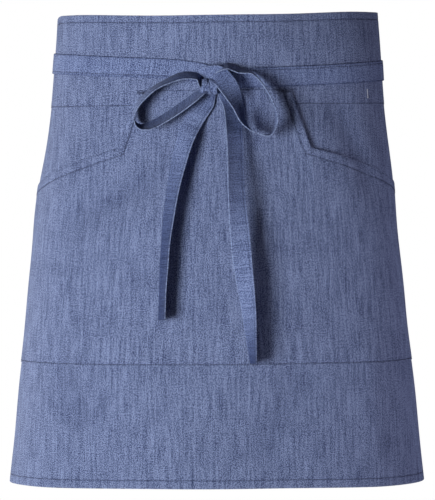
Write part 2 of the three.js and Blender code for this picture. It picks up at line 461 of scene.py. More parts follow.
class Shade:
    """A socket of a shader, with operators that add Math nodes."""

    def __init__(self, graph: "ShaderGraph", socket: bpy.types.NodeSocket) -> None:
        """Keeps the socket and the graph that it is in."""
        self.graph = graph
        self.socket = socket

    def _math(self, operation: str, first: "Shade | float", second: "Shade | float") -> "Shade":
        """A Math node on two values."""
        node = self.graph.node("ShaderNodeMath", {"operation": operation}, {0: first, 1: second})
        return Shade(self.graph, node.outputs[0])

    def __add__(self, other: "Shade | float") -> "Shade":
        """The sum."""
        return self._math("ADD", self, other)

    __radd__ = __add__

    def __sub__(self, other: "Shade | float") -> "Shade":
        """The difference."""
        return self._math("SUBTRACT", self, other)

    def __rsub__(self, other: "Shade | float") -> "Shade":
        """The difference from a number."""
        return self._math("SUBTRACT", other, self)

    def __mul__(self, other: "Shade | float") -> "Shade":
        """The product."""
        return self._math("MULTIPLY", self, other)

    __rmul__ = __mul__

    def wave(self, pitch: float) -> "Shade":
        """The sine of the value, with one wave for each pitch."""
        return self._math("SINE", self * (2 * math.pi / pitch), 0.0)

    def limited(self) -> "Shade":
        """The value held between 0 and 1."""
        return self._math("MINIMUM", self._math("MAXIMUM", self, 0.0), 1.0)


class NodeGraph:
    """A node tree that is built node by node."""

    def __init__(self, tree: bpy.types.NodeTree) -> None:
        """Takes a tree and empties it."""
        self.tree = tree
        self.tree.nodes.clear()

    def node(self, kind: str, settings: dict | None = None, sockets: dict | None = None) -> bpy.types.Node:
        """Adds a node.

        Args:
            kind: the node's type.
            settings: properties, which are set first.
            sockets: values or links of its inputs, by place, identifier or name. A node stands for its
                first output.

        Returns:
            The node.
        """
        node = self.tree.nodes.new(kind)
        for key, value in (settings or {}).items():
            setattr(node, key, value)
        for key, value in (sockets or {}).items():
            socket = self._input(node, key)
            if isinstance(value, bpy.types.Node):
                value = next(output for output in value.outputs if output.enabled)
            source = value.socket if isinstance(value, Shade) else value
            if isinstance(source, bpy.types.NodeSocket):
                self.tree.links.new(source, socket)
            else:
                socket.default_value = source
        return node

    @staticmethod
    def _input(node: bpy.types.Node, key: int | str) -> bpy.types.NodeSocket:
        """Finds an input of a node.

        Args:
            node: the node.
            key: the input's place, identifier or name.

        Returns:
            The input that is in use, where several have one name.
        """
        if isinstance(key, int):
            return node.inputs[key]
        named = [socket for socket in node.inputs if key in (socket.identifier, socket.name)]
        return next((socket for socket in named if socket.enabled), named[0])


class ShaderGraph(NodeGraph):
    """The node tree of a new material."""

    def __init__(self, name: str) -> None:
        """Starts a material with no nodes but its output.

        Args:
            name: the material's name.
        """
        self.material = bpy.data.materials.new(name)
        self.material.use_nodes = True
        super().__init__(self.material.node_tree)
        self.output = self.node("ShaderNodeOutputMaterial")

    def out(self, node: bpy.types.Node, key: int | str = 0) -> Shade:
        """A node's output as a value."""
        return Shade(self, node.outputs[key])

    def mask(self, name: str) -> Shade:
        """One of the piece's own masks."""
        return self.out(self.node("ShaderNodeAttribute", {"attribute_name": name}), "Fac")

    def mix(self, factor: Shade | float, first: Shade | Colour, second: Shade | Colour,
            blend: str = "MIX") -> Shade:
        """A mix of two colours.

        Args:
            factor: share of the second colour.
            first: colour or link.
            second: colour or link.
            blend: the way in which they mix.

        Returns:
            The mixed colour.
        """
        ends = [end if isinstance(end, Shade) else (*end, 1.0) for end in (first, second)]
        node = self.node("ShaderNodeMix", {"data_type": "RGBA", "blend_type": blend},
                         {"Factor_Float": factor, "A_Color": ends[0], "B_Color": ends[1]})
        return Shade(self, next(s for s in node.outputs if s.identifier == "Result_Color"))

    def noise(self, place: Shade, grain: "Grain") -> Shade:
        """Noise on flat cloth.

        Args:
            place: place on the cloth in millimetres.
            grain: the noise's sizes and detail.

        Returns:
            A value about 0, mostly between -0.5 and 0.5.
        """
        scaled = self.node("ShaderNodeVectorMath", {"operation": "MULTIPLY"},
                           {0: place, 1: (1 / grain.across, 1 / grain.along, 1.0)})
        node = self.node("ShaderNodeTexNoise", {"noise_dimensions": "2D"}, {
            "Vector": scaled, "Scale": 1.0, "Detail": grain.detail, "Roughness": NOISE_ROUGHNESS})
        return self.out(node) - NOISE_MIDDLE

    def snapped(self, place: Shade, across: float, along: float) -> Shade:
        """A place on the cloth moved to the start of its cell, where all the cells have one size."""
        node = self.node("ShaderNodeVectorMath", {"operation": "SNAP"}, {0: place, 1: (across, along, 1.0)})
        return self.out(node)

    def chance(self, place: Shade) -> Shade:
        """A value between -0.5 and 0.5 that is different at each place."""
        node = self.node("ShaderNodeTexWhiteNoise", {"noise_dimensions": "2D"}, {"Vector": place})
        return self.out(node, "Value") - NOISE_MIDDLE

    def finish(self, shader: bpy.types.Node) -> bpy.types.Material:
        """Links the shader to the output and gives the material."""
        self.tree.links.new(shader.outputs[0], self.output.inputs["Surface"])
        return self.material


@dataclass(frozen=True)
class Grain:
    """A noise on cloth: its sizes across and along the upright yarn, its contrast and its finer layers."""

    across: float
    along: float
    contrast: float = 1.0
    detail: float = 1.0


@dataclass(frozen=True)
class MelangeCloth:
    """Plain weave of mixed blue yarns: each has its own tone, and each crossing differs a little.

    The pattern follows the piece's flat map, in metres, whose second axis is the upright yarn.
    """

    name: str
    deep: Colour = (0.022, 0.035, 0.108)
    pale: Colour = (0.300, 0.370, 0.602)
    # Pale colour of worn edges, which also serves as painted highlight on the ribbons' lit edges.
    wear_and_highlight_colour: Colour = (0.30, 0.36, 0.54)
    # Colour that the painted shade along sewn lines, creases and edges multiplies in.
    press_shade_colour: Colour = (0.50, 0.52, 0.60)
    # Colour that the painted shade on the bow's turned and overhung faces multiplies in.
    face_shade_colour: Colour = (0.24, 0.28, 0.40)
    slub: Grain = Grain(0.3, 30.0, 0.76)
    cross: Grain = Grain(9.0, 0.3, 0.7)
    mottle: Grain = Grain(0.95, 1.0, 3.8)
    thick: Grain = Grain(3.0, 40.0, 0.92)
    cloud: Grain = Grain(15.0, 22.0, 0.3)
    ridge: Grain = Grain(0.9, 13.0, detail=2.0)
    fleck_contrast: float = 0.9
    weave_contrast: float = 0.10
    press_shade_strength: float = 0.55
    wear_and_highlight_strength: float = 0.30
    yarn_pitch: float = 0.42
    unbroken: float = 0.001
    roughness: float = 0.90
    ridge_roughness: float = 0.12
    wear_roughness: float = 0.04
    weave_relief: float = 0.35
    ridge_relief: float = 0.9
    thick_relief: float = 0.5
    relief_strength: float = 0.6
    relief_depth: float = 0.00022
    specular: float = 0.18
    sheen: float = 0.12
    sheen_roughness: float = 0.45
    sheen_tint: Colour = (0.72, 0.80, 1.0)

    def material(self) -> bpy.types.Material:
        """Builds the cloth's shader.

        Returns:
            The material.
        """
        graph = ShaderGraph(self.name)
        flat = graph.node("ShaderNodeUVMap", {"uv_map": UV_NAME})
        scaled = graph.node("ShaderNodeVectorMath", {"operation": "SCALE"}, {0: flat, "Scale": 1 / MM})
        place = graph.out(scaled)
        axes = graph.node("ShaderNodeSeparateXYZ", None, {0: place})
        period = 2 * self.yarn_pitch
        weave = graph.out(axes, "X").wave(period) * graph.out(axes, "Y").wave(period)
        warp = graph.snapped(place, self.yarn_pitch, self.unbroken)
        weft = graph.snapped(place, self.unbroken, self.yarn_pitch)
        fleck = graph.chance(graph.snapped(place, self.yarn_pitch, self.yarn_pitch))
        thick = graph.noise(place, self.thick)
        ridge = graph.noise(place, self.ridge)
        tone = thick * self.thick.contrast + fleck * self.fleck_contrast + weave * self.weave_contrast
        grains = ((warp, self.slub), (weft, self.cross), (place, self.mottle), (place, self.cloud))
        for where, grain in grains:
            tone = tone + graph.noise(where, grain) * grain.contrast
        colour = graph.mix((tone + NOISE_MIDDLE).limited(), self.deep, self.pale)
        # Painted shade on the bow's turned and overhung faces.
        face_shade_colour = graph.mix(1.0, colour, self.face_shade_colour, "MULTIPLY")
        colour = graph.mix(graph.mask(FACE_SHADE), colour, face_shade_colour)
        # Pale wear along edges, which on the ribbons also paints the highlight of their lit edges.
        wear_and_highlight = graph.mask(WEAR_AND_HIGHLIGHT)
        pale_edge_share = wear_and_highlight * (NOISE_MIDDLE + fleck) * self.wear_and_highlight_strength
        colour = graph.mix(pale_edge_share.limited(), colour, self.wear_and_highlight_colour)
        # Painted shade along sewn lines, in creases and along edges.
        shadow = graph.mix(1.0, colour, self.press_shade_colour, "MULTIPLY")
        colour = graph.mix((graph.mask(PRESS_SHADE) * self.press_shade_strength).limited(), colour, shadow)
        height = weave * self.weave_relief + ridge * self.ridge_relief + thick * self.thick_relief
        relief = graph.node("ShaderNodeBump", None, {
            "Strength": self.relief_strength, "Distance": self.relief_depth, "Height": height})
        rough = ridge * self.ridge_roughness + wear_and_highlight * self.wear_roughness + self.roughness
        return graph.finish(graph.node("ShaderNodeBsdfPrincipled", None, {
            "Base Color": colour,
            "Roughness": rough.limited(),
            "Normal": relief,
            "Specular IOR Level": self.specular,
            "Sheen Weight": self.sheen,
            "Sheen Roughness": self.sheen_roughness,
            "Sheen Tint": (*self.sheen_tint, 1.0),
        }))


@dataclass(frozen=True)
class ThreadFinish:
    """Twisted sewing thread. Metres."""

    name: str
    dark: Colour
    light: Colour
    roughness: float = 0.72
    fibre_roughness: float = 0.2
    fibre_size: float = 0.0011
    fibre_detail: float = 1.0
    twist_pitch: float = 0.0004
    twist_depth: float = 0.0001
    twist_strength: float = 0.5

    def material(self) -> bpy.types.Material:
        """Builds the thread's shader on the object's own coordinates.

        Returns:
            The material.
        """
        graph = ShaderGraph(self.name)
        place = graph.out(graph.node("ShaderNodeTexCoord"), "Object")
        fibre = graph.out(graph.node("ShaderNodeTexNoise", None, {
            "Vector": place, "Scale": 1 / self.fibre_size, "Detail": self.fibre_detail}))
        axes = graph.node("ShaderNodeSeparateXYZ", None, {0: place})
        lean = graph.out(axes, "X") + graph.out(axes, "Z")
        relief = graph.node("ShaderNodeBump", None, {
            "Strength": self.twist_strength,
            "Distance": self.twist_depth,
            "Height": lean.wave(self.twist_pitch),
        })
        rough = (fibre - NOISE_MIDDLE) * self.fibre_roughness + self.roughness
        return graph.finish(graph.node("ShaderNodeBsdfPrincipled", None, {
            "Base Color": graph.mix(fibre, self.dark, self.light),
            "Roughness": rough.limited(),
            "Normal": relief,
        }))


@dataclass(frozen=True)
class FloorFinish:
    """Pale matt studio floor."""

    name: str = "pale_floor"
    light: Colour = (0.80, 0.80, 0.80)
    dark: Colour = (0.76, 0.76, 0.77)
    cloud_scale: float = 2.0
    roughness: float = 0.9

    def material(self) -> bpy.types.Material:
        """Builds the floor's shader.

        Returns:
            The material.
        """
        graph = ShaderGraph(self.name)
        place = graph.out(graph.node("ShaderNodeTexCoord"), "Object")
        cloud = graph.node("ShaderNodeTexNoise", None, {"Vector": place, "Scale": self.cloud_scale})
        return graph.finish(graph.node("ShaderNodeBsdfPrincipled", None, {
            "Base Color": graph.mix(graph.out(cloud), self.dark, self.light),
            "Roughness": self.roughness,
        }))


@dataclass
class ClothSheet:
    """A sheet of cloth as a grid of points on its middle surface, by columns and then rows.

    As seen from its outer face, columns run to the right and rows upwards.
    """

    name: str
    middle: Array
    ply: Array | float
    # Masks: painted shade along sewn lines, creases and edges; pale wear along edges, with painted highlight
    # on the ribbons' lit edges; painted shade on the bow's turned faces.
    press_shade: Array | float = 0.0
    wear_and_highlight: Array | float = 0.0
    face_shade: Array | float = 0.0
    pattern_shift: tuple[float, float] = (0.0, 0.0)
    flat: Array | None = None
    rim_roundness: float = 0.42

    def normals(self) -> Array:
        """The direction out of the outer face at each point."""
        across, up = np.gradient(self.middle, axis=(0, 1))
        return unit(np.cross(across, up))

    def flat_map(self) -> Array:
        """Lays the sheet flat, from its middle column.

        Returns:
            Where each point lies on the flat cloth, in metres.
        """
        if self.flat is not None:
            return self.flat + np.asarray(self.pattern_shift)
        across = np.linalg.norm(np.diff(self.middle, axis=0), axis=-1)
        u = np.vstack([np.zeros(across.shape[1]), np.cumsum(across, axis=0)])
        centre = len(self.middle) // 2
        v = np.broadcast_to(lengths_along(self.middle[centre]), u.shape)
        return np.stack([u - u[centre], v], -1) * MM + np.asarray(self.pattern_shift)

    def _rim(self) -> tuple[Array, Array]:
        """Goes round the edge of the grid, anticlockwise as seen from outside.

        Returns:
            The grid places on the edge, and the place inward of each.
        """
        columns, rows = self.middle.shape[:2]
        i, j = np.arange(columns), np.arange(rows)
        sides = ((i[:-1], 0), (columns - 1, j[:-1]), (i[:0:-1], rows - 1), (0, j[:0:-1]))
        places = np.concatenate([np.stack(np.broadcast_arrays(*side), 1) for side in sides])
        return places, np.clip(places, 1, [columns - 2, rows - 2])

    def build(self, material: bpy.types.Material) -> bpy.types.Object:
        """Makes the closed mesh with both faces and a rounded rim.

        Args:
            material: the cloth's finish.

        Returns:
            The object, at the origin.
        """
        shape = self.middle.shape[:2]
        ply = np.broadcast_to(np.asarray(self.ply, float), shape)
        lift = self.normals() * (ply / 2)[..., None]
        places, inward = self._rim()
        edge = (places[:, 0], places[:, 1])
        away = unit(self.middle[edge] - self.middle[(inward[:, 0], inward[:, 1])])
        rim = self.middle[edge] + away * (ply[edge] * self.rim_roundness)[:, None]
        count = shape[0] * shape[1]
        points = np.vstack([(self.middle + lift).reshape(-1, 3), (self.middle - lift).reshape(-1, 3), rim])
        number = np.arange(count).reshape(shape)
        quad = [number[:-1, :-1], number[1:, :-1], number[1:, 1:], number[:-1, 1:]]
        outer = np.stack(quad, -1).reshape(-1, 4)
        a = number[edge]
        b = np.roll(a, -1)
        rim_a = 2 * count + np.arange(len(a))
        rim_b = np.roll(rim_a, -1)
        faces = np.vstack([
            outer,
            outer[:, ::-1] + count,
            np.stack([b, a, rim_a, rim_b], -1),
            np.stack([rim_b, rim_a, a + count, b + count], -1),
        ])
        mesh = bpy.data.meshes.new(self.name)
        mesh.from_pydata((points * MM).tolist(), [], faces.tolist())
        self._store(mesh, np.concatenate([number.ravel(), number.ravel(), a]))
        mesh.shade_smooth()
        mesh.materials.append(material)
        mesh.update()
        return add_object(self.name, mesh)

    def _store(self, mesh: bpy.types.Mesh, everywhere: Array) -> None:
        """Writes the flat map and the masks.

        Args:
            mesh: the piece's mesh.
            everywhere: the grid place that each vertex belongs to.
        """
        shape = self.middle.shape[:2]
        corner = np.zeros(len(mesh.loops), np.int32)
        mesh.loops.foreach_get("vertex_index", corner)
        flat = self.flat_map().reshape(-1, 2)[everywhere][corner]
        mesh.uv_layers.new(name=UV_NAME).uv.foreach_set("vector", flat.astype(np.float32).ravel())
        for name, mask in ((PRESS_SHADE, self.press_shade), (WEAR_AND_HIGHLIGHT, self.wear_and_highlight), (FACE_SHADE, self.face_shade)):
            values = np.broadcast_to(np.asarray(mask, float), shape).reshape(-1)[everywhere]
            layer = mesh.attributes.new(name, "FLOAT", "POINT")
            layer.data.foreach_set("value", values.astype(np.float32))


@dataclass
class StitchRun:
    """A sewn line: points just on the cloth, and the direction out of the cloth at each."""

    points: Array
    outward: Array

    @classmethod
    def on(cls, form: WaistForm, turn: Array, z: Array, out: Array | float) -> "StitchRun":
        """A sewn line at some turns and heights, a distance outside the form."""
        return cls(form.on(turn, z, out), form.normal(turn, z))


@dataclass(frozen=True)
class StitchWork:
    """Lockstitches along sewn lines, made by Geometry Nodes."""

    pitch: float = 2.9
    length: float = 2.2
    width: float = 0.8
    height: float = 0.5
    lean: float = 5.0
    bead_segments: int = 6
    bead_rings: int = 4
    bead_radius: float = 0.5
    seed: int = 3

    def build(self, name: str, runs: Sequence[StitchRun], material: bpy.types.Material) -> bpy.types.Object:
        """Makes one mesh of all the stitches on some lines.

        Args:
            name: the piece's name.
            runs: the sewn lines.
            material: the thread's finish.

        Returns:
            A plain mesh object, with no modifier left on it.
        """
        guide = self._guide(name + "_guide", runs)
        modifier = guide.modifiers.new("stitches", "NODES")
        modifier.node_group, inputs = self._tree(material)
        sizes = {"Pitch": self.pitch, "Length": self.length, "Width": self.width, "Height": self.height}
        for key, value in sizes.items():
            modifier[inputs[key]] = value * MM
        modifier[inputs["Lean"]] = math.radians(self.lean)
        modifier[inputs["Seed"]] = self.seed
        bpy.context.view_layer.update()
        shown = guide.evaluated_get(bpy.context.evaluated_depsgraph_get())
        mesh = bpy.data.meshes.new_from_object(shown)
        mesh.name = name
        guide.modifiers.remove(modifier)
        bpy.data.objects.remove(guide)
        return add_object(name, mesh)

    @staticmethod
    def _guide(name: str, runs: Sequence[StitchRun]) -> bpy.types.Object:
        """Makes a mesh of bare edges along the sewn lines.

        Args:
            name: the guide's name.
            runs: the sewn lines.

        Returns:
            The guide, which knows the direction out of the cloth at each point.
        """
        edges, start = [], 0
        for run in runs:
            edges += [(start + i, start + i + 1) for i in range(len(run.points) - 1)]
            start += len(run.points)
        mesh = bpy.data.meshes.new(name)
        mesh.from_pydata((np.vstack([run.points for run in runs]) * MM).tolist(), edges, [])
        layer = mesh.attributes.new(OUTWARD, "FLOAT_VECTOR", "POINT")
        layer.data.foreach_set("vector", np.vstack([run.outward for run in runs]).astype(np.float32).ravel())
        return add_object(name, mesh)

    def _tree(self, material: bpy.types.Material) -> tuple[bpy.types.NodeTree, dict[str, str]]:
        """Makes the tree that sets a bead of thread at each pitch.

        Args:
            material: the thread's finish.

        Returns:
            The tree, and the identifier of each named input.
        """
        tree = bpy.data.node_groups.new("lockstitch", "GeometryNodeTree")
        sockets = tree.interface
        sockets.new_socket("Geometry", in_out="INPUT", socket_type="NodeSocketGeometry")
        kinds = {"Pitch": "Float", "Length": "Float", "Width": "Float", "Height": "Float",
                 "Lean": "Float", "Seed": "Int"}
        inputs = {
            key: sockets.new_socket(key, in_out="INPUT", socket_type=f"NodeSocket{kind}").identifier
            for key, kind in kinds.items()
        }
        sockets.new_socket("Geometry", in_out="OUTPUT", socket_type="NodeSocketGeometry")
        add = NodeGraph(tree).node
        given = add("NodeGroupInput").outputs
        curve = add("GeometryNodeMeshToCurve", None, {"Mesh": given["Geometry"]})
        spaced = add("GeometryNodeResampleCurve", {"mode": "LENGTH"},
                     {"Curve": curve, "Length": given["Pitch"]})
        along = add("FunctionNodeAlignRotationToVector", {"axis": "X"},
                    {"Vector": add("GeometryNodeInputTangent")})
        outward = add("GeometryNodeInputNamedAttribute", {"data_type": "FLOAT_VECTOR"}, {"Name": OUTWARD})
        upright = add("FunctionNodeAlignRotationToVector", {"axis": "Z", "pivot_axis": "X"},
                      {"Rotation": along, "Vector": outward})
        least = add("ShaderNodeMath", {"operation": "MULTIPLY"}, {0: given["Lean"], 1: -1.0})
        lean = add("FunctionNodeRandomValue", {"data_type": "FLOAT"},
                   {"Min": least, "Max": given["Lean"], "Seed": given["Seed"]})
        skew = add("FunctionNodeAxisAngleToRotation", None, {"Axis": (0.0, 0.0, 1.0), "Angle": lean})
        turned = add("FunctionNodeRotateRotation", {"rotation_space": "LOCAL"},
                     {"Rotation": upright, "Rotate By": skew})
        bead = add("GeometryNodeMeshUVSphere", None, {
            "Segments": self.bead_segments, "Rings": self.bead_rings, "Radius": self.bead_radius})
        size = add("ShaderNodeCombineXYZ", None,
                   {"X": given["Length"], "Y": given["Width"], "Z": given["Height"]})
        shaped = add("GeometryNodeTransform", None, {"Geometry": bead, "Scale": size})
        smooth = add("GeometryNodeSetShadeSmooth", None, {"Geometry": shaped})
        placed = add("GeometryNodeInstanceOnPoints", None,
                     {"Points": spaced, "Instance": smooth, "Rotation": turned})
        realized = add("GeometryNodeRealizeInstances", None, {"Geometry": placed})
        dressed = add("GeometryNodeSetMaterial", None, {"Geometry": realized, "Material": material})
        add("NodeGroupOutput", None, {"Geometry": dressed})
        return tree, inputs


@dataclass
class Wardrobe:
    """The finishes that the pieces share."""

    panel: bpy.types.Material = field(default_factory=MelangeCloth("melange_panel").material)
    # The tie's strong pale edges are wear and also painted highlight of its lit edges.
    tie: bpy.types.Material = field(default_factory=MelangeCloth(
        "melange_tie", deep=(0.026, 0.040, 0.127), pale=(0.302, 0.384, 0.648), wear_and_highlight_colour=(0.36, 0.45, 0.69),
        slub=Grain(0.3, 30.0, 1.5), mottle=Grain(0.95, 1.0, 4.4), thick=Grain(3.0, 40.0, 0.6),
        wear_and_highlight_strength=1.4).material)
    thread: bpy.types.Material = field(default_factory=ThreadFinish(
        "blue_thread", dark=(0.018, 0.022, 0.055), light=(0.045, 0.058, 0.125)).material)
    pale_thread: bpy.types.Material = field(default_factory=ThreadFinish(
        "pale_thread", dark=(0.56, 0.60, 0.70), light=(0.76, 0.80, 0.88)).material)


def declare_sheet(piece: bpy.types.Object, node: str, flat: tuple[float, float],
                  area: float | None = None,
                  with_pieces: Sequence[bpy.types.Object] = ()) -> None:
    """Attaches a cloth piece and its stitches to the body, hides the CAD node that it replaces and logs their
    faces.

    Args:
        piece: the cloth.
        node: the CAD node that it replaces.
        flat: width and length of the flat cut, in millimetres; not used.
        area: flat area in square millimetres where the cut isn't a rectangle; not used.
        with_pieces: stitches on it.
    """
    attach(piece, BODY)
    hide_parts(node)
    for part in with_pieces:
        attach(part, BODY)
    flat[0] * MM
    flat[1] * MM
    None if area is None else area * MM * MM
    for part in (piece, *with_pieces):
        LOG.info("%s: %d faces", part.name, len(part.data.polygons))


@dataclass(frozen=True)
class Pucker:
    """What a sewn line does to the cloth beside it."""

    depth: float = 0.32
    reach: float = 1.1
    ripple: float = 0.10
    ripple_pitch: float = 7.3
    ripple_reach: float = 5.0

    def rippled(self, distance: Array, along: Array) -> Array:
        """How far the cloth ripples out, at a distance from the line and a length along it."""
        wave = np.sin(2 * math.pi * along / self.ripple_pitch)
        return self.ripple * wave * bump(distance, self.ripple_reach)

    def offset(self, distance: Array, along: Array) -> Array:
        """How far the cloth moves out, at a distance from the line and a length along it."""
        return self.rippled(distance, along) - self.depth * self.mask(distance)

    def mask(self, distance: Array) -> Array:
        """How strongly the cloth is pressed, from 0 to 1; the same share sets the painted shade along the
        line.
        """
        return bump(distance, self.reach)


@dataclass
class Waistband:
    """A strip folded over at its top, with the skirt's upper edge sewn in between its two walls."""

    form: WaistForm
    wardrobe: Wardrobe
    top: float = 50.0
    seam: float = -50.0
    seam_gap: float = 0.25
    end_turn: float = 169.7
    ply: float = 0.45
    outer_wall: float = 1.18
    inner_wall: float = 0.19
    fold_angles: tuple[float, float] = (22.5, 157.5)
    closed_end: float = 3.0
    end_opening: float = 0.55
    top_stitch: float = 42.0
    seam_stitch: float = -48.5
    stitch_margin: float = 0.6
    thread_sink: float = 0.6
    fine_over_seam: float = 5.0
    fine_under_stitch: float = 4.0
    fine_over_stitch: float = 3.0
    wear_and_highlight_reach: float = 1.6
    loose_tack_turn: float = 63.6
    loose_tack_low: float = -42.0
    loose_tack_high: float = -34.0
    corner_dip: float = 3.2
    dip_from: float = -74.0
    dip_to: float = -92.0
    columns: int = 260
    outer_steps: tuple[int, ...] = (8, 24, 10, 5)
    fold_rows: int = 7
    inner_rows: int = 15
    stitch_points: int = 400
    tack_points: int = 12
    pattern_shift: tuple[float, float] = (0.3, 0.9)
    pucker: Pucker = Pucker()
    seam_work: StitchWork = StitchWork()
    tack_work: StitchWork = StitchWork(pitch=1.8, length=2.2, width=1.9, height=0.9)

    def profile(self) -> tuple[Array, Array]:
        """Follows the folded strip from the outer seam over the top to the inside.

        Returns:
            Height and distance out along the strip.
        """
        radius = (self.outer_wall - self.inner_wall) / 2
        centre = (self.outer_wall + self.inner_wall) / 2
        shoulder = self.top - radius - self.ply / 2
        low = self.seam + self.seam_gap
        over_seam = self.seam + self.fine_over_seam
        under_stitch = self.top_stitch - self.fine_under_stitch
        over_stitch = self.top_stitch + self.fine_over_stitch
        outer = spans((low, over_seam, under_stitch, over_stitch, shoulder), self.outer_steps)
        angle = np.radians(np.linspace(*self.fold_angles, self.fold_rows))
        inner = np.linspace(shoulder, low, self.inner_rows)
        z = np.concatenate([outer, shoulder + radius * np.sin(angle), inner])
        out = np.concatenate([
            np.full(len(outer), self.outer_wall),
            centre + radius * np.cos(angle),
            np.full(len(inner), self.inner_wall),
        ])
        return z, out

    def dipped(self, turn: Array, z: Array) -> Array:
        """Heights on the band, whose top goes down a little round the left side."""
        dip = self.corner_dip * smoothstep(self.dip_from, self.dip_to, turn)
        return z - dip * smoothstep(0.0, self.top, z)

    def sheet(self) -> ClothSheet:
        """Shapes the band's cloth, with its ends sewn shut.

        Returns:
            The sheet.
        """
        z, out = self.profile()
        turn = np.linspace(-self.end_turn, self.end_turn, self.columns)[:, None]
        arc = self.form.arc(turn)
        from_end = self.form.arc(np.array(self.end_turn)) - np.abs(arc)
        centre = (self.outer_wall + self.inner_wall) / 2
        opened = self.end_opening + (1 - self.end_opening) * smoothstep(0.0, self.closed_end, from_end)
        outside = np.asarray(out > centre, float)
        layer = centre + (out - centre) * opened
        # Painted shade along both sewn lines and in the creases.
        press_shade = np.zeros(np.broadcast(turn, z).shape)
        for height in (self.top_stitch, self.seam_stitch):
            layer = layer + outside * self.pucker.offset(z - height, arc)
            press_shade = np.maximum(press_shade, outside * self.pucker.mask(z - height))
        press_shade = np.maximum(press_shade, self.form.crease(turn, z))
        points = self.form.on(turn, self.dipped(turn, z), layer)
        return ClothSheet("waistband_cloth", points, self.ply, press_shade, bump(z - self.top, self.wear_and_highlight_reach),
                          pattern_shift=self.pattern_shift)

    def run(self, height: float) -> StitchRun:
        """A level line of stitches on the outer wall.

        Args:
            height: the line's height.

        Returns:
            The sewn line.
        """
        end = self.end_turn - self.stitch_margin
        turn = np.linspace(-end, end, self.stitch_points)
        out = self.outer_wall + self.ply / 2 - self.thread_sink * self.pucker.depth
        return StitchRun.on(self.form, turn, self.dipped(turn, np.full_like(turn, height)), out)

    def loose_tack(self) -> StitchRun:
        """Sews the upright tack that shows as a pale thread on the right.

        Returns:
            The sewn line.
        """
        z = np.linspace(self.loose_tack_low, self.loose_tack_high, self.tack_points)
        turn = np.full_like(z, self.loose_tack_turn)
        return StitchRun.on(self.form, turn, z, self.outer_wall + self.ply / 2)

    def build(self) -> None:
        piece = self.sheet().build(self.wardrobe.panel)
        runs = [self.run(self.top_stitch), self.run(self.seam_stitch)]
        stitches = self.seam_work.build("waistband_stitches", runs, self.wardrobe.thread)
        tack = self.tack_work.build("waistband_tack", [self.loose_tack()], self.wardrobe.pale_thread)
        width = 2 * float(self.form.arc(np.array(self.end_turn)))
        declare_sheet(piece, "waistband", (width, 2 * (self.top - self.seam)),
                      with_pieces=[stitches, tack])


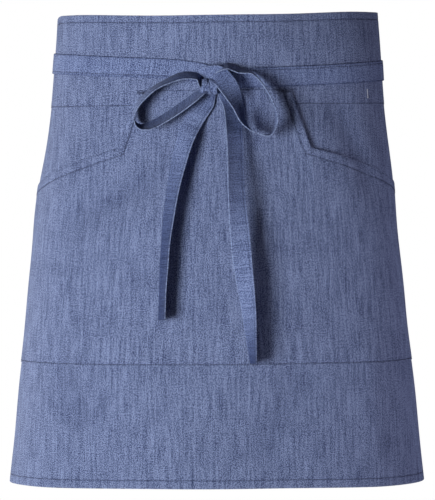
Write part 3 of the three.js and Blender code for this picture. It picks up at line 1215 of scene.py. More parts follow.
@dataclass
class SkirtPanel:
    """The flared panel, hemmed below and at both back edges, with its upper edge inside the band."""

    form: WaistForm
    wardrobe: Wardrobe
    hem: float = -470.0
    seam: float = -50.0
    tuck: float = 8.0
    back_edge_hem: float = 140.0
    back_edge_seam: float = 169.7
    ply: float = 0.5
    wall: float = 0.68
    hem_wall: float = -0.12
    hem_depth: float = 9.0
    hem_allowance: float = 1.6
    hem_fold_angles: tuple[float, float] = (202.5, 337.5)
    fold_middle: float = -0.23
    side_hem: float = 8.0
    side_fold_angles: tuple[float, float] = (30.0, 180.0)
    front_cosine: float = 0.5
    fine_by_stitch: float = 3.0
    fine_under_seam: float = 4.0
    hem_wear_reach: float = 1.6
    side_wear: float = 0.8
    side_wear_reach: float = 1.4
    hem_stitch_margin: float = 0.8
    side_stitch_margin: float = 2.0
    hem_thread_sink: float = 0.6
    side_thread_sink: float = 0.3
    columns: int = 236
    hem_rows: int = 5
    fold_rows: int = 7
    outer_steps: tuple[int, ...] = (5, 9, 92, 8)
    side_fold_columns: int = 6
    side_hem_columns: int = 4
    hem_points: int = 420
    side_points: int = 160
    measured_heights: int = 40
    pattern_shift: tuple[float, float] = (1.7, 0.2)
    pucker: Pucker = Pucker(depth=0.24)
    seam_work: StitchWork = StitchWork()

    def back_edge(self, z: Array) -> Array:
        """Turn of the back edges at a height."""
        return np.interp(z, [self.hem, self.seam], [self.back_edge_hem, self.back_edge_seam])

    def profile(self) -> tuple[Array, Array, Array]:
        """Follows the panel from the hem's inner edge, round the fold and up to the top.

        Returns:
            Height, distance out, and 1 on the outside or 0 inside the hem.
        """
        radius = (self.wall - self.hem_wall) / 2
        centre = (self.wall + self.hem_wall) / 2
        fold = self.hem + radius
        stitch = self.hem + self.hem_depth
        under_stitch, over_stitch = stitch - self.fine_by_stitch, stitch + self.fine_by_stitch
        under_seam = self.seam - self.fine_under_seam
        inner = np.linspace(stitch + self.hem_allowance, fold, self.hem_rows)
        angle = np.radians(np.linspace(*self.hem_fold_angles, self.fold_rows))
        breaks = (fold, under_stitch, over_stitch, under_seam, self.seam + self.tuck)
        outer = spans(breaks, self.outer_steps)
        z = np.concatenate([inner, fold + radius * np.sin(angle), outer])
        out = np.concatenate([
            np.full(len(inner), self.hem_wall),
            centre + radius * np.cos(angle),
            np.full(len(outer), self.wall),
        ])
        outside = np.concatenate([np.zeros(len(inner) + len(angle)), np.ones(len(outer))])
        return z, out, outside

    def columns_and_folds(self) -> tuple[Array, Array, Array]:
        """Sets out the columns from one side hem's inner edge to the other's.

        Returns:
            Shares of the back edge's turn, angles of the side hems' folds, and lengths turned inside.
        """
        share = np.linspace(-1.0, 1.0, self.columns)
        angle = np.radians(np.linspace(*self.side_fold_angles, self.side_fold_columns))
        inside = np.linspace(0.0, self.side_hem, self.side_hem_columns)[1:]
        angles = np.concatenate([angle, np.full(len(inside), math.pi)])
        lengths = np.concatenate([np.zeros(len(angle)), inside])
        ones = np.ones(len(angles))
        return (
            np.concatenate([-ones, share, ones]),
            np.concatenate([angles[::-1], np.zeros(len(share)), angles]),
            np.concatenate([lengths[::-1], np.zeros(len(share)), lengths]),
        )

    def sheet(self) -> ClothSheet:
        """Shapes the panel's cloth.

        Returns:
            The sheet.
        """
        z, out, outside = self.profile()
        share, angle, length = (part[:, None] for part in self.columns_and_folds())
        edge = self.back_edge(z)
        reach = np.abs(out - self.fold_middle) * np.sin(angle) - length
        turn = share * edge + np.sign(share) * np.degrees(reach / self.form.groove_radius)
        arc = self.form.arc(turn)
        layer = self.fold_middle + (out - self.fold_middle) * np.cos(angle)
        front = np.where(np.cos(angle) > self.front_cosine, outside, 0.0)
        stitch = z - (self.hem + self.hem_depth)
        from_side = np.abs(self.form.arc(share * edge) - self.form.arc(np.sign(share) * edge))
        side = from_side - self.side_hem
        # Painted shade along the sewn lines of the hem and back edges, and in the creases.
        press_shade = front * np.maximum(self.pucker.mask(stitch), self.pucker.mask(side))
        press_shade = np.maximum(press_shade, self.form.crease(turn, z))
        layer = layer + front * self.pucker.offset(stitch, arc)
        wear_and_highlight = np.maximum(bump(z - self.hem, self.hem_wear_reach),
                          self.side_wear * bump(from_side, self.side_wear_reach))
        return ClothSheet("skirt_cloth", self.form.on(turn, z, layer), self.ply, press_shade, wear_and_highlight,
                          pattern_shift=self.pattern_shift)

    def hem_run(self) -> StitchRun:
        """Sews the hem.

        Returns:
            The line of stitches along it.
        """
        z = np.full(self.hem_points, self.hem + self.hem_depth)
        turn = np.linspace(-1, 1, len(z)) * (self.back_edge(z) - self.hem_stitch_margin)
        out = self.wall + self.ply / 2 - self.hem_thread_sink * self.pucker.depth
        return StitchRun.on(self.form, turn, z, out)

    def side_run(self, side: Side) -> StitchRun:
        """Sews one back edge.

        Args:
            side: the side of the back edge.

        Returns:
            The line of stitches along it.
        """
        high = self.seam - self.side_stitch_margin
        z = np.linspace(self.hem + self.hem_depth, high, self.side_points)
        arc = self.form.arc(self.back_edge(z)) - self.side_hem
        out = self.wall + self.ply / 2 - self.side_thread_sink * self.pucker.depth
        return StitchRun.on(self.form, -side.value * self.form.turn_at(arc), z, out)

    def flat_size(self) -> tuple[tuple[float, float], float]:
        """Measures the flat cut, hems and seam allowance included.

        Returns:
            Its width and length, and its area.
        """
        z = np.linspace(self.hem, self.seam, self.measured_heights)
        scale = self.form.width(z) / self.form.width(self.form.arc_height)
        across = 2 * (self.form.arc(self.back_edge(z)) * scale + self.side_hem)
        length = self.seam + self.tuck - self.hem + self.hem_depth
        return (float(across.max()), length), float(across.mean() * length)

    def build(self) -> None:
        piece = self.sheet().build(self.wardrobe.panel)
        runs = [self.hem_run(), *(self.side_run(side) for side in Side)]
        stitches = self.seam_work.build("skirt_stitches", runs, self.wardrobe.thread)
        flat, area = self.flat_size()
        declare_sheet(piece, "skirt_panel", flat, area, [stitches])


@dataclass(frozen=True)
class Gape:
    """How a hand opening stands away from the skirt: where, how far, how wide and how far down."""

    turn: float
    lift: float
    spread: float
    drop: float

    def at(self, turn: Array, below: Array) -> Array:
        """How far the cloth stands away at a turn and a distance below the upper edge."""
        return self.lift * bump(turn - self.turn, self.spread) * bump(below, self.drop)


@dataclass
class PocketPanel:
    """The wide front pocket, open along a slanted mouth on either side."""

    form: WaistForm
    wardrobe: Wardrobe
    bottom: float = -336.0
    edge_turns: tuple[float, ...] = (-100.0, -34.4, -28.4, 25.2, 31.6, 100.0)
    edge_heights: tuple[float, ...] = (-145.5, -96.2, -33.0, -33.0, -97.2, -148.0)
    mouth_stretches: tuple[int, ...] = (0, 1, 3, 4)
    gapes: tuple[Gape, ...] = (Gape(40, 3.0, 13, 34), Gape(28.5, 1.8, 5, 60), Gape(-40, 1.1, 13, 24))
    over_band: float = 2.0
    over_skirt: float = 1.3
    band_clear: float = -60.0
    skirt_level: float = -115.0
    ply: float = 0.55
    hem_ply: float = 0.95
    hem_depth: float = 8.2
    hem_fade: tuple[float, float] = (-0.6, 0.8)
    bottom_stitch: float = 2.0
    side_stitch: float = 3.0
    bottom_stitch_margin: float = 1.0
    side_stitch_margin: float = 3.0
    thread_sink: float = 0.35
    fine_by_side: float = 1.0
    fine_by_corner: float = 4.0
    fine_by_top: float = 3.6
    fine_over_seam: tuple[float, float] = (5.0, 16.0)
    fine_under_edge: tuple[float, float] = (34.0, 14.0)
    rim_row: float = 0.3
    tack_length: float = 9.0
    tack_inset: float = 0.8
    tack_rise: float = 0.15
    tack_rows: tuple[float, ...] = (1.4, 2.7)
    corner_box: float = 4.5
    corner_box_inset: float = 0.15
    box_corners: tuple[tuple[int, int], ...] = ((1, 0), (4, 5))
    rim_reach: float = 0.9
    bottom_wear: float = 0.6
    bottom_wear_reach: float = 1.2
    hem_step: float = 0.32
    turn_steps: tuple[int, ...] = (3, 38, 10, 18, 13, 24, 13, 26, 10, 38, 3)
    low_steps: tuple[int, ...] = (8, 3)
    top_steps: tuple[int, ...] = (20, 18)
    middle_rows: int = 52
    mouth_points: int = 60
    bottom_points: int = 320
    side_points: int = 90
    tack_points: int = 12
    measured_columns: int = 400
    pattern_shift: tuple[float, float] = (3.1, 0.5)
    pucker: Pucker = Pucker(depth=0.4, reach=1.2)
    seam_work: StitchWork = StitchWork()
    bar_work: StitchWork = StitchWork(pitch=0.9, length=0.7, width=1.7, lean=10.0)
    box_work: StitchWork = StitchWork(pitch=1.6, length=1.5, width=0.55, height=0.35)

    def edge_height(self, turn: Array) -> Array:
        """Height of the upper edge at a turn."""
        return np.interp(turn, self.edge_turns, self.edge_heights)

    def edge_places(self) -> Array:
        """Corners of the upper edge from left to right, as length along the cloth and height."""
        return np.stack([self.form.arc(np.array(self.edge_turns)), np.array(self.edge_heights)], -1)

    def from_edge(self, turn: Array, z: Array, stretches: Sequence[int]) -> Array:
        """Distance of places from the upper edge.

        Args:
            turn: degrees from the front centre.
            z: height.
            stretches: which of the edge's straight stretches count, from the left.

        Returns:
            The distance to the nearest of them.
        """
        arc = self.form.arc(turn)
        places = self.edge_places()
        nearest = np.full(np.broadcast(turn, z).shape, np.inf)
        for k in stretches:
            start_arc, start_z = places[k]
            away = off_stretch(arc - start_arc, z - start_z, *(places[k + 1] - places[k]))
            nearest = np.minimum(nearest, away)
        return nearest

    def lift(self, turn: Array, z: Array) -> Array:
        """How far the cloth stands away below its hand openings."""
        below = self.edge_height(turn) - z
        return sum(gape.at(turn, below) for gape in self.gapes)

    def inner_layer(self, turn: Array, z: Array) -> Array:
        """Distance of the inner face from the form."""
        rise = smoothstep(self.skirt_level, self.band_clear, z)
        return self.over_skirt + (self.over_band - self.over_skirt) * rise + self.lift(turn, z)

    def turns(self) -> Array:
        """Sets out the columns, closer together by the steep part of each mouth.

        Returns:
            The turn of each column.
        """
        left, left_corner, left_top, right_top, right_corner, right = self.edge_turns
        side, corner, top = self.fine_by_side, self.fine_by_corner, self.fine_by_top
        breaks = (left, left + side, left_corner - corner, left_corner, left_top, left_top + top,
                  right_top - top, right_top, right_corner, right_corner + corner, right - side, right)
        return spans(breaks, self.turn_steps)

    def heights(self, turn: Array) -> Array:
        """Sets out the rows, closer together by the seam and by the upper edge.

        Args:
            turn: the turn of each column.

        Returns:
            The height of each row at each turn.
        """
        low = spans((0.0, *self.fine_over_seam), self.low_steps)
        top = spans((*self.fine_under_edge, 0.0), self.top_steps)
        top = np.append(top[:-1], [self.rim_row, 0.0])
        edge = self.edge_height(turn)
        share = np.linspace(0.0, 1.0, self.middle_rows)[1:-1]
        start = self.bottom + low[-1]
        middle = start + (edge - top[0] - start) * share
        return np.concatenate([self.bottom + low * np.ones_like(turn), middle, edge - top], axis=1)

    def sheet(self) -> ClothSheet:
        """Shapes the pocket's cloth, doubled along its hemmed mouths.

        Returns:
            The sheet.
        """
        turn = self.turns()[:, None]
        z = self.heights(turn)
        arc = self.form.arc(turn)
        edge = self.from_edge(turn, z, range(len(self.edge_turns) - 1))
        mouth = self.from_edge(turn, z, self.mouth_stretches) - self.hem_depth
        side = self.form.arc(np.array(self.edge_turns[-1])) - np.abs(arc)
        ply = self.ply + (self.hem_ply - self.ply) * (1 - smoothstep(*self.hem_fade, mouth))
        lines = ((mouth, arc - z), (z - self.bottom - self.bottom_stitch, arc), (side - self.side_stitch, z))
        layer = self.inner_layer(turn, z) + ply / 2
        # Painted shade along the rim of the upper edge and in the creases; the loop below adds it along each
        # sewn line.
        press_shade = np.maximum(self.form.crease(turn, z), bump(edge, self.rim_reach))
        for distance, along in lines:
            layer = layer + self.pucker.offset(distance, along)
            press_shade = np.maximum(press_shade, self.pucker.mask(distance))
        wear_and_highlight = self.bottom_wear * bump(z - self.bottom, self.bottom_wear_reach)
        flat = np.stack(np.broadcast_arrays(arc, z), -1) * MM
        return ClothSheet("pocket_cloth", self.form.on(turn, z, layer), ply, press_shade, wear_and_highlight,
                          pattern_shift=self.pattern_shift, flat=flat)

    def hem_corners(self) -> Array:
        """Moves the upper edge in by the hem's depth.

        Returns:
            Corners of the hem's inner edge, from left to right.
        """
        places = self.edge_places()
        along = unit(np.diff(places, axis=0))
        inward = np.stack([along[:, 1], -along[:, 0]], -1) * self.hem_depth
        starts = places[:-1] + inward
        corners = [starts[0]]
        for k in range(len(along) - 1):
            turned = along[k, 0] * along[k + 1, 1] - along[k, 1] * along[k + 1, 0]
            gap = starts[k + 1] - starts[k]
            reach = (gap[0] * along[k + 1, 1] - gap[1] * along[k + 1, 0]) / turned
            corners.append(starts[k] + along[k] * reach)
        return np.array([*corners, places[-1] + inward[-1]])

    def on_cloth(self, turn: Array, z: Array, rise: float = 0.0) -> StitchRun:
        """A sewn line on the pocket's outer face, or a little above it."""
        out = self.inner_layer(turn, z) + self.ply - self.thread_sink * self.pucker.depth + rise
        return StitchRun.on(self.form, turn, z, out)

    def mouth_lines(self) -> list[StitchRun]:
        """Sews the hem's inner edge of each mouth, from its side to its upper corner.

        Returns:
            A line of stitches for each mouth.
        """
        corners = self.hem_corners()
        runs = []
        for side, middle, top in (corners[:3], corners[:2:-1]):
            lower, upper = (np.linspace(*ends, self.mouth_points) for ends in ((side, middle), (middle, top)))
            line = np.vstack([lower, upper[1:]])
            runs.append(self.on_cloth(self.form.turn_at(line[:, 0]), line[:, 1], self.hem_step))
        return runs

    def bottom_line(self) -> StitchRun:
        """Stitches along the lower seam."""
        turn = np.linspace(-1, 1, self.bottom_points) * (self.edge_turns[-1] - self.bottom_stitch_margin)
        return self.on_cloth(turn, np.full_like(turn, self.bottom + self.bottom_stitch))

    def side_line(self, side: Side) -> StitchRun:
        """Sews one side seam.

        Args:
            side: the side of the seam.

        Returns:
            The line of stitches down it.
        """
        high = self.edge_heights[-1] - self.side_stitch_margin
        z = np.linspace(self.bottom + self.bottom_stitch, high, self.side_points)
        arc = self.form.arc(np.array(self.edge_turns[-1])) - self.side_stitch
        return self.on_cloth(-side.value * self.form.turn_at(np.full_like(z, arc)), z)

    def tack(self, start: Array, end: Array) -> StitchRun:
        """Sews a bar of close stitches on the hem.

        Args:
            start: length along the cloth and height of its first stitch.
            end: those of its last stitch.

        Returns:
            The sewn line.
        """
        line = np.linspace(start, end, self.tack_points)
        run = self.on_cloth(self.form.turn_at(line[:, 0]), line[:, 1])
        run.points = run.points + run.outward * (self.hem_ply - self.ply + self.tack_rise)
        return run

    def top_tacks(self) -> list[StitchRun]:
        """Sews level bars at both ends of the straight top.

        Returns:
            The bars.
        """
        runs = []
        for corner, inward in zip(self.edge_places()[2:4], (1.0, -1.0)):
            for below in self.tack_rows:
                start = corner + np.array([inward * self.tack_inset, -below])
                runs.append(self.tack(start, start + np.array([inward * self.tack_length, 0.0])))
        return runs

    def corner_tacks(self) -> list[StitchRun]:
        """Sews a small box on the hem at the lower corner of each mouth.

        Returns:
            The sides of the boxes.
        """
        outer, inner = self.edge_places(), self.hem_corners()
        runs = []
        for k, away in self.box_corners:
            along = unit(outer[away] - outer[k]) * self.corner_box
            high = outer[k] * (1 - self.corner_box_inset) + inner[k] * self.corner_box_inset
            corners = [inner[k], inner[k] + along, high + along, high, inner[k]]
            runs += [self.tack(a, b) for a, b in zip(corners[:-1], corners[1:])]
        return runs

    def flat_size(self) -> tuple[tuple[float, float], float]:
        """Measures the flat cut.

        Returns:
            Its width and length with its hem, and its area.
        """
        places = self.edge_places()
        scale = float(self.form.width(self.bottom) / self.form.width(self.form.arc_height))
        width = 2 * places[-1, 0] * scale
        length = max(self.edge_heights) - self.bottom + self.hem_depth
        arc = np.linspace(places[0, 0], places[-1, 0], self.measured_columns)
        tall = np.interp(arc, places[:, 0], places[:, 1]) - self.bottom
        return (width, length), float(tall.mean() * width)

    def build(self) -> None:
        piece = self.sheet().build(self.wardrobe.panel)
        thread = self.wardrobe.thread
        runs = [*self.mouth_lines(), self.bottom_line(), *(self.side_line(side) for side in Side)]
        stitches = self.seam_work.build("pocket_stitches", runs, thread)
        tops = self.bar_work.build("pocket_top_tacks", self.top_tacks(), thread)
        corners = self.box_work.build("pocket_corner_tacks", self.corner_tacks(), thread)
        flat, area = self.flat_size()
        declare_sheet(piece, "pocket_panel", flat, area,
                      [stitches, tops, corners])


@dataclass(frozen=True)
class TieCut:
    """The sewn strip that both ties are made of."""

    width: float = 21.0
    ply: float = 1.2
    stitch_inset: float = 2.5
    edge_rows: tuple[float, ...] = (0.0, 0.35, 1.0, 1.8, 2.5, 3.3, 4.6)
    inner_from: float = 6.4
    inner_rows: int = 7
    gather_length: float = 20.0
    wear_and_highlight_reach: float = 0.55
    press_shade_reach: float = 1.1
    pucker: Pucker = Pucker(depth=0.22, reach=0.9, ripple=0.12)

    def rows(self) -> Array:
        """Sets out the rows, closer together by both edges.

        Returns:
            Places across the strip from -0.5 to 0.5.
        """
        edge = np.array(self.edge_rows) / self.width
        reach = Edge.HIGH.value - self.inner_from / self.width
        inner = np.linspace(-reach, reach, self.inner_rows)
        return np.concatenate([edge + Edge.LOW.value, inner, Edge.HIGH.value - edge[::-1]])

    def stitch_row(self, edge: Edge) -> float:
        """The place across the strip of the stitches along one edge."""
        return math.copysign(Edge.HIGH.value - self.stitch_inset / self.width, edge.value)

    def from_stitch(self, across: Array, edge: Edge) -> Array:
        """Distance of places across the strip from the stitches along one edge."""
        return np.abs((across - edge.value) * self.width) - self.stitch_inset

    def from_edge(self, across: Array, edge: Edge) -> Array:
        """Distance of places across the strip from one edge."""
        return np.abs(across - edge.value) * self.width

    def share_at(self, distance: Array, gathered: float) -> Array:
        """Share of the width at a distance along the strip from the knot, where it is gathered."""
        return gathered + (1 - gathered) * smoothstep(0.0, self.gather_length, distance)

    def wear_and_highlight(self, across: Array, strengths: tuple[float, float]) -> Array:
        """Pale wear along the two edges, each with its own strength, which also paints the highlight of the
        lit edges.
        """
        return sum(strength * bump(self.from_edge(across, edge), self.wear_and_highlight_reach)
                   for strength, edge in zip(strengths, Edge))


@dataclass(frozen=True)
class TiePlace:
    """A place on a tie round the waist: turn, centre height and inner face's distance from the form."""

    turn: float
    z: float
    layer: float


@dataclass
class WaistTie:
    """One tie from its sewn end, round the back, to the knot."""

    name: str
    node: str
    side: Side
    stitched_edge: Edge
    places: tuple[TiePlace, ...]
    form: WaistForm
    wardrobe: Wardrobe
    cut: TieCut = TieCut()
    columns: int = 340
    stitch_points: int = 420
    box_points: int = 16
    crown: float = 0.12
    gathered: float = 0.85
    pleat_depth: float = 1.6
    pleat_waves: float = 2.5
    thread_sink: float = 0.3
    stitch_margins: tuple[float, float] = (0.5, 3.0)
    box_length: float = 19.0
    box_margin: float = 0.9
    box_share: float = 0.66
    edge_shade: float = 1.25
    low_edge_shade: float = 1.0
    pattern_from: float = 4.0
    pattern_up: float = 0.3
    work: StitchWork = StitchWork(pitch=2.6, length=2.0)

    def __post_init__(self) -> None:
        """Makes the smooth run of the tie."""
        turns = [place.turn for place in self.places]
        self.height = SmoothCurve(turns, [place.z for place in self.places])
        self.layers = (turns, [place.layer for place in self.places])

    def round_form(self, turn: Array) -> Array:
        """The form's turn, from -180 to 180, at a turn along the tie."""
        return np.mod(self.side.value * turn + HALF_TURN, 2 * HALF_TURN) - HALF_TURN

    def surface(self, turn: Array, across: Array, out: Array | float) -> Array:
        """Points of the tie.

        Args:
            turn: along the tie.
            across: from -0.5 at its lower edge to 0.5 at its upper edge.
            out: distance outside its inner face.

        Returns:
            The points.
        """
        from_knot = np.radians(self.places[-1].turn - turn) * float(self.form.width(0.0))
        share = self.cut.share_at(from_knot, self.gathered)
        z = self.height(turn) + across * self.cut.width * share
        pleat = (1 - share) * self.pleat_depth * np.cos(2 * math.pi * self.pleat_waves * across)
        return self.form.on(self.round_form(turn), z, np.interp(turn, *self.layers) + out + pleat)

    def sheet(self) -> ClothSheet:
        """Shapes the tie's cloth, both layers as one.

        Returns:
            The sheet.
        """
        turn = np.linspace(self.places[0].turn, self.places[-1].turn, self.columns)[:, None]
        turn = turn if self.side is Side.LEFT else turn[::-1]
        across = self.cut.rows()
        arc = np.radians(turn) * self.form.groove_radius
        distance = self.cut.from_stitch(across, self.stitched_edge)
        crown = self.crown * (1 - 4 * across * across)
        out = self.cut.ply / 2 + crown + self.cut.pucker.offset(distance, arc)
        nearest = np.minimum(*(self.cut.from_edge(across, edge) for edge in Edge))
        # Painted shade along both edges of the tie, scaled on the lower edge, and along the sewn line.
        edge = self.edge_shade * bump(nearest, self.cut.press_shade_reach)
        edge = edge * np.where(across < 0, self.low_edge_shade, 1.0)
        press_shade = np.maximum(self.cut.pucker.mask(distance), edge)
        return ClothSheet(self.name, self.surface(turn, across, out), self.cut.ply, press_shade,
                          pattern_shift=(self.pattern_from + self.side.value, self.pattern_up))

    def run(self, turn: Array, across: Array) -> StitchRun:
        """A sewn line on the tie's outer face."""
        points = self.surface(turn, across, self.cut.ply - self.thread_sink * self.cut.pucker.depth)
        return StitchRun(points, self.form.normal(self.round_form(turn), self.height(turn)))

    def box_runs(self) -> list[StitchRun]:
        """Sews the box with a cross that holds the sewn end.

        Returns:
            The sides of the box and the strokes of the cross.
        """
        start = self.places[0].turn + self.box_margin
        end = start + math.degrees(self.box_length / float(self.form.back(0.0)) * self.box_share)
        low, high = (self.cut.stitch_row(edge) for edge in Edge)
        corners = [(start, low), (end, low), (end, high), (start, high), (start, low), (end, high)]
        lines = [np.linspace(a, b, self.box_points) for a, b in zip(corners[:-1], corners[1:])]
        return [self.run(line[:, 0], line[:, 1]) for line in lines]

    def build(self) -> None:
        sheet = self.sheet()
        piece = sheet.build(self.wardrobe.tie)
        sewn_end, knot_end = self.stitch_margins
        first, last = self.places[0].turn + sewn_end, self.places[-1].turn - knot_end
        turn = np.linspace(first, last, self.stitch_points)
        runs = [self.run(turn, np.full_like(turn, self.cut.stitch_row(self.stitched_edge))), *self.box_runs()]
        stitches = self.work.build(self.name + "_stitches", runs, self.wardrobe.thread)
        length = float(np.ptp(sheet.flat_map()[:, len(self.cut.rows()) // 2, 0]) / MM)
        declare_sheet(piece, self.node, (self.cut.width, length),
                      with_pieces=[stitches])


@dataclass(frozen=True)
class KnotCrease:
    """A crease over the knot: where it crosses the front, how it slants, and its depth."""

    across: float
    slant: float
    depth: float


@dataclass
class KnotWrap:
    """The turn of tie over the front of the knot, tucked in above and below between angles in radians."""

    form: WaistForm
    wardrobe: Wardrobe
    x: float = -9.0
    z: float = -29.4
    out: float = 12.6
    half_width: float = 9.8
    half_height: float = 8.6
    half_depth: float = 8.4
    wrap_left: float = -9.0
    wrap_right: float = 9.6
    lean: float = -6.0
    ply: float = 0.9
    wrap_angles: tuple[float, float] = (150.0, -128.0)
    tuck_depth: float = 0.55
    tuck_above: tuple[float, float] = (1.75, 2.6)
    tuck_below: tuple[float, float] = (-1.45, -2.2)
    waist: float = 0.10
    edge_fall: float = 0.16
    edge_power: int = 4
    fine_edge: float = 0.9
    columns: int = 71
    across_steps: tuple[int, ...] = (3, 30, 3)
    creases: tuple[KnotCrease, ...] = (
        KnotCrease(-0.42, 0.24, 1.1), KnotCrease(0.12, -0.30, 1.3), KnotCrease(0.62, 0.16, 0.9))
    crease_wobble: float = 0.05
    crease_waves: int = 3
    crease_reach: float = 0.10
    press_shade_reach: float = 0.07
    press_shade: float = 0.7
    wear_and_highlight: float = 0.15
    wear_and_highlight_reach: float = 1.2
    pattern_shift: tuple[float, float] = (7.3, 0.4)

    def middle(self) -> Array:
        """The knot's middle point."""
        return self.form.in_front(np.array(self.x), np.array(self.z), np.array(self.out))

    def inside(self, points: Array, share: float) -> Array:
        """Which points lie inside the knot's room, shrunk to a share of its size."""
        half = np.array([self.half_width, self.half_depth, self.half_height]) * share
        return (((points - self.middle()) / half) ** 2).sum(-1) < 1.0

    def off_crease(self, crease: KnotCrease, angle: Array, across: Array) -> Array:
        """Distance across the wrap from a crease, at an angle round it."""
        wobble = self.crease_wobble * np.sin(self.crease_waves * angle)
        return across - (crease.across + crease.slant * np.sin(angle) + wobble)

    def sheet(self) -> ClothSheet:
        """Shapes the wrap's cloth, from behind the top over the front to under the knot.

        Returns:
            The sheet.
        """
        angle = np.radians(np.linspace(*self.wrap_angles, self.columns))[:, None]
        across = spans((-1.0, -self.fine_edge, self.fine_edge, 1.0), self.across_steps)
        tucked = np.maximum(smoothstep(*self.tuck_above, angle), smoothstep(*self.tuck_below, angle))
        round_it = 1.0 - self.tuck_depth * tucked
        waist = 1.0 - self.waist * np.cos(angle) * (1 - across * across)
        radius = round_it * waist * (1.0 - self.edge_fall * across**self.edge_power)
        # Painted shade along the creases over the knot.
        press_shade = np.zeros(radius.shape)
        for crease in self.creases:
            away = self.off_crease(crease, angle, across)
            radius = radius - crease.depth / self.half_height * bump(away, self.crease_reach)
            press_shade = press_shade + self.press_shade * bump(away, self.press_shade_reach)
        reach = np.where(across < 0, -self.wrap_left, self.wrap_right)
        x = reach * across * (1 - self.waist * np.cos(angle))
        y = -(self.half_depth - self.ply / 2) * np.cos(angle) * radius
        z = (self.half_height - self.ply / 2) * np.sin(angle) * radius
        lean = math.radians(self.lean)
        points = np.stack(np.broadcast_arrays(
            x * math.cos(lean) - z * math.sin(lean), y, x * math.sin(lean) + z * math.cos(lean)), -1)
        wear_and_highlight = self.wear_and_highlight * bump((1 - np.abs(across)) * self.half_width, self.wear_and_highlight_reach)
        return ClothSheet("bow_knot_wrap", self.middle() + points, self.ply, press_shade, wear_and_highlight,
                          pattern_shift=self.pattern_shift)

    def build(self, cut: TieCut) -> None:
        """Args:
            cut: the strip that it is a turn of.
        """
        sheet = self.sheet()
        piece = sheet.build(self.wardrobe.tie)
        length = float(np.ptp(sheet.flat_map()[:, 0, 0]) / MM)
        declare_sheet(piece, "bow_knot", (cut.width, length))


@dataclass(frozen=True)
class RibbonPlace:
    """A place on a ribbon's centre line, seen from the front: distance out, tilt and painted shade."""

    x: float
    z: float
    out: float
    tilt: float
    face_shade: float = 0.0


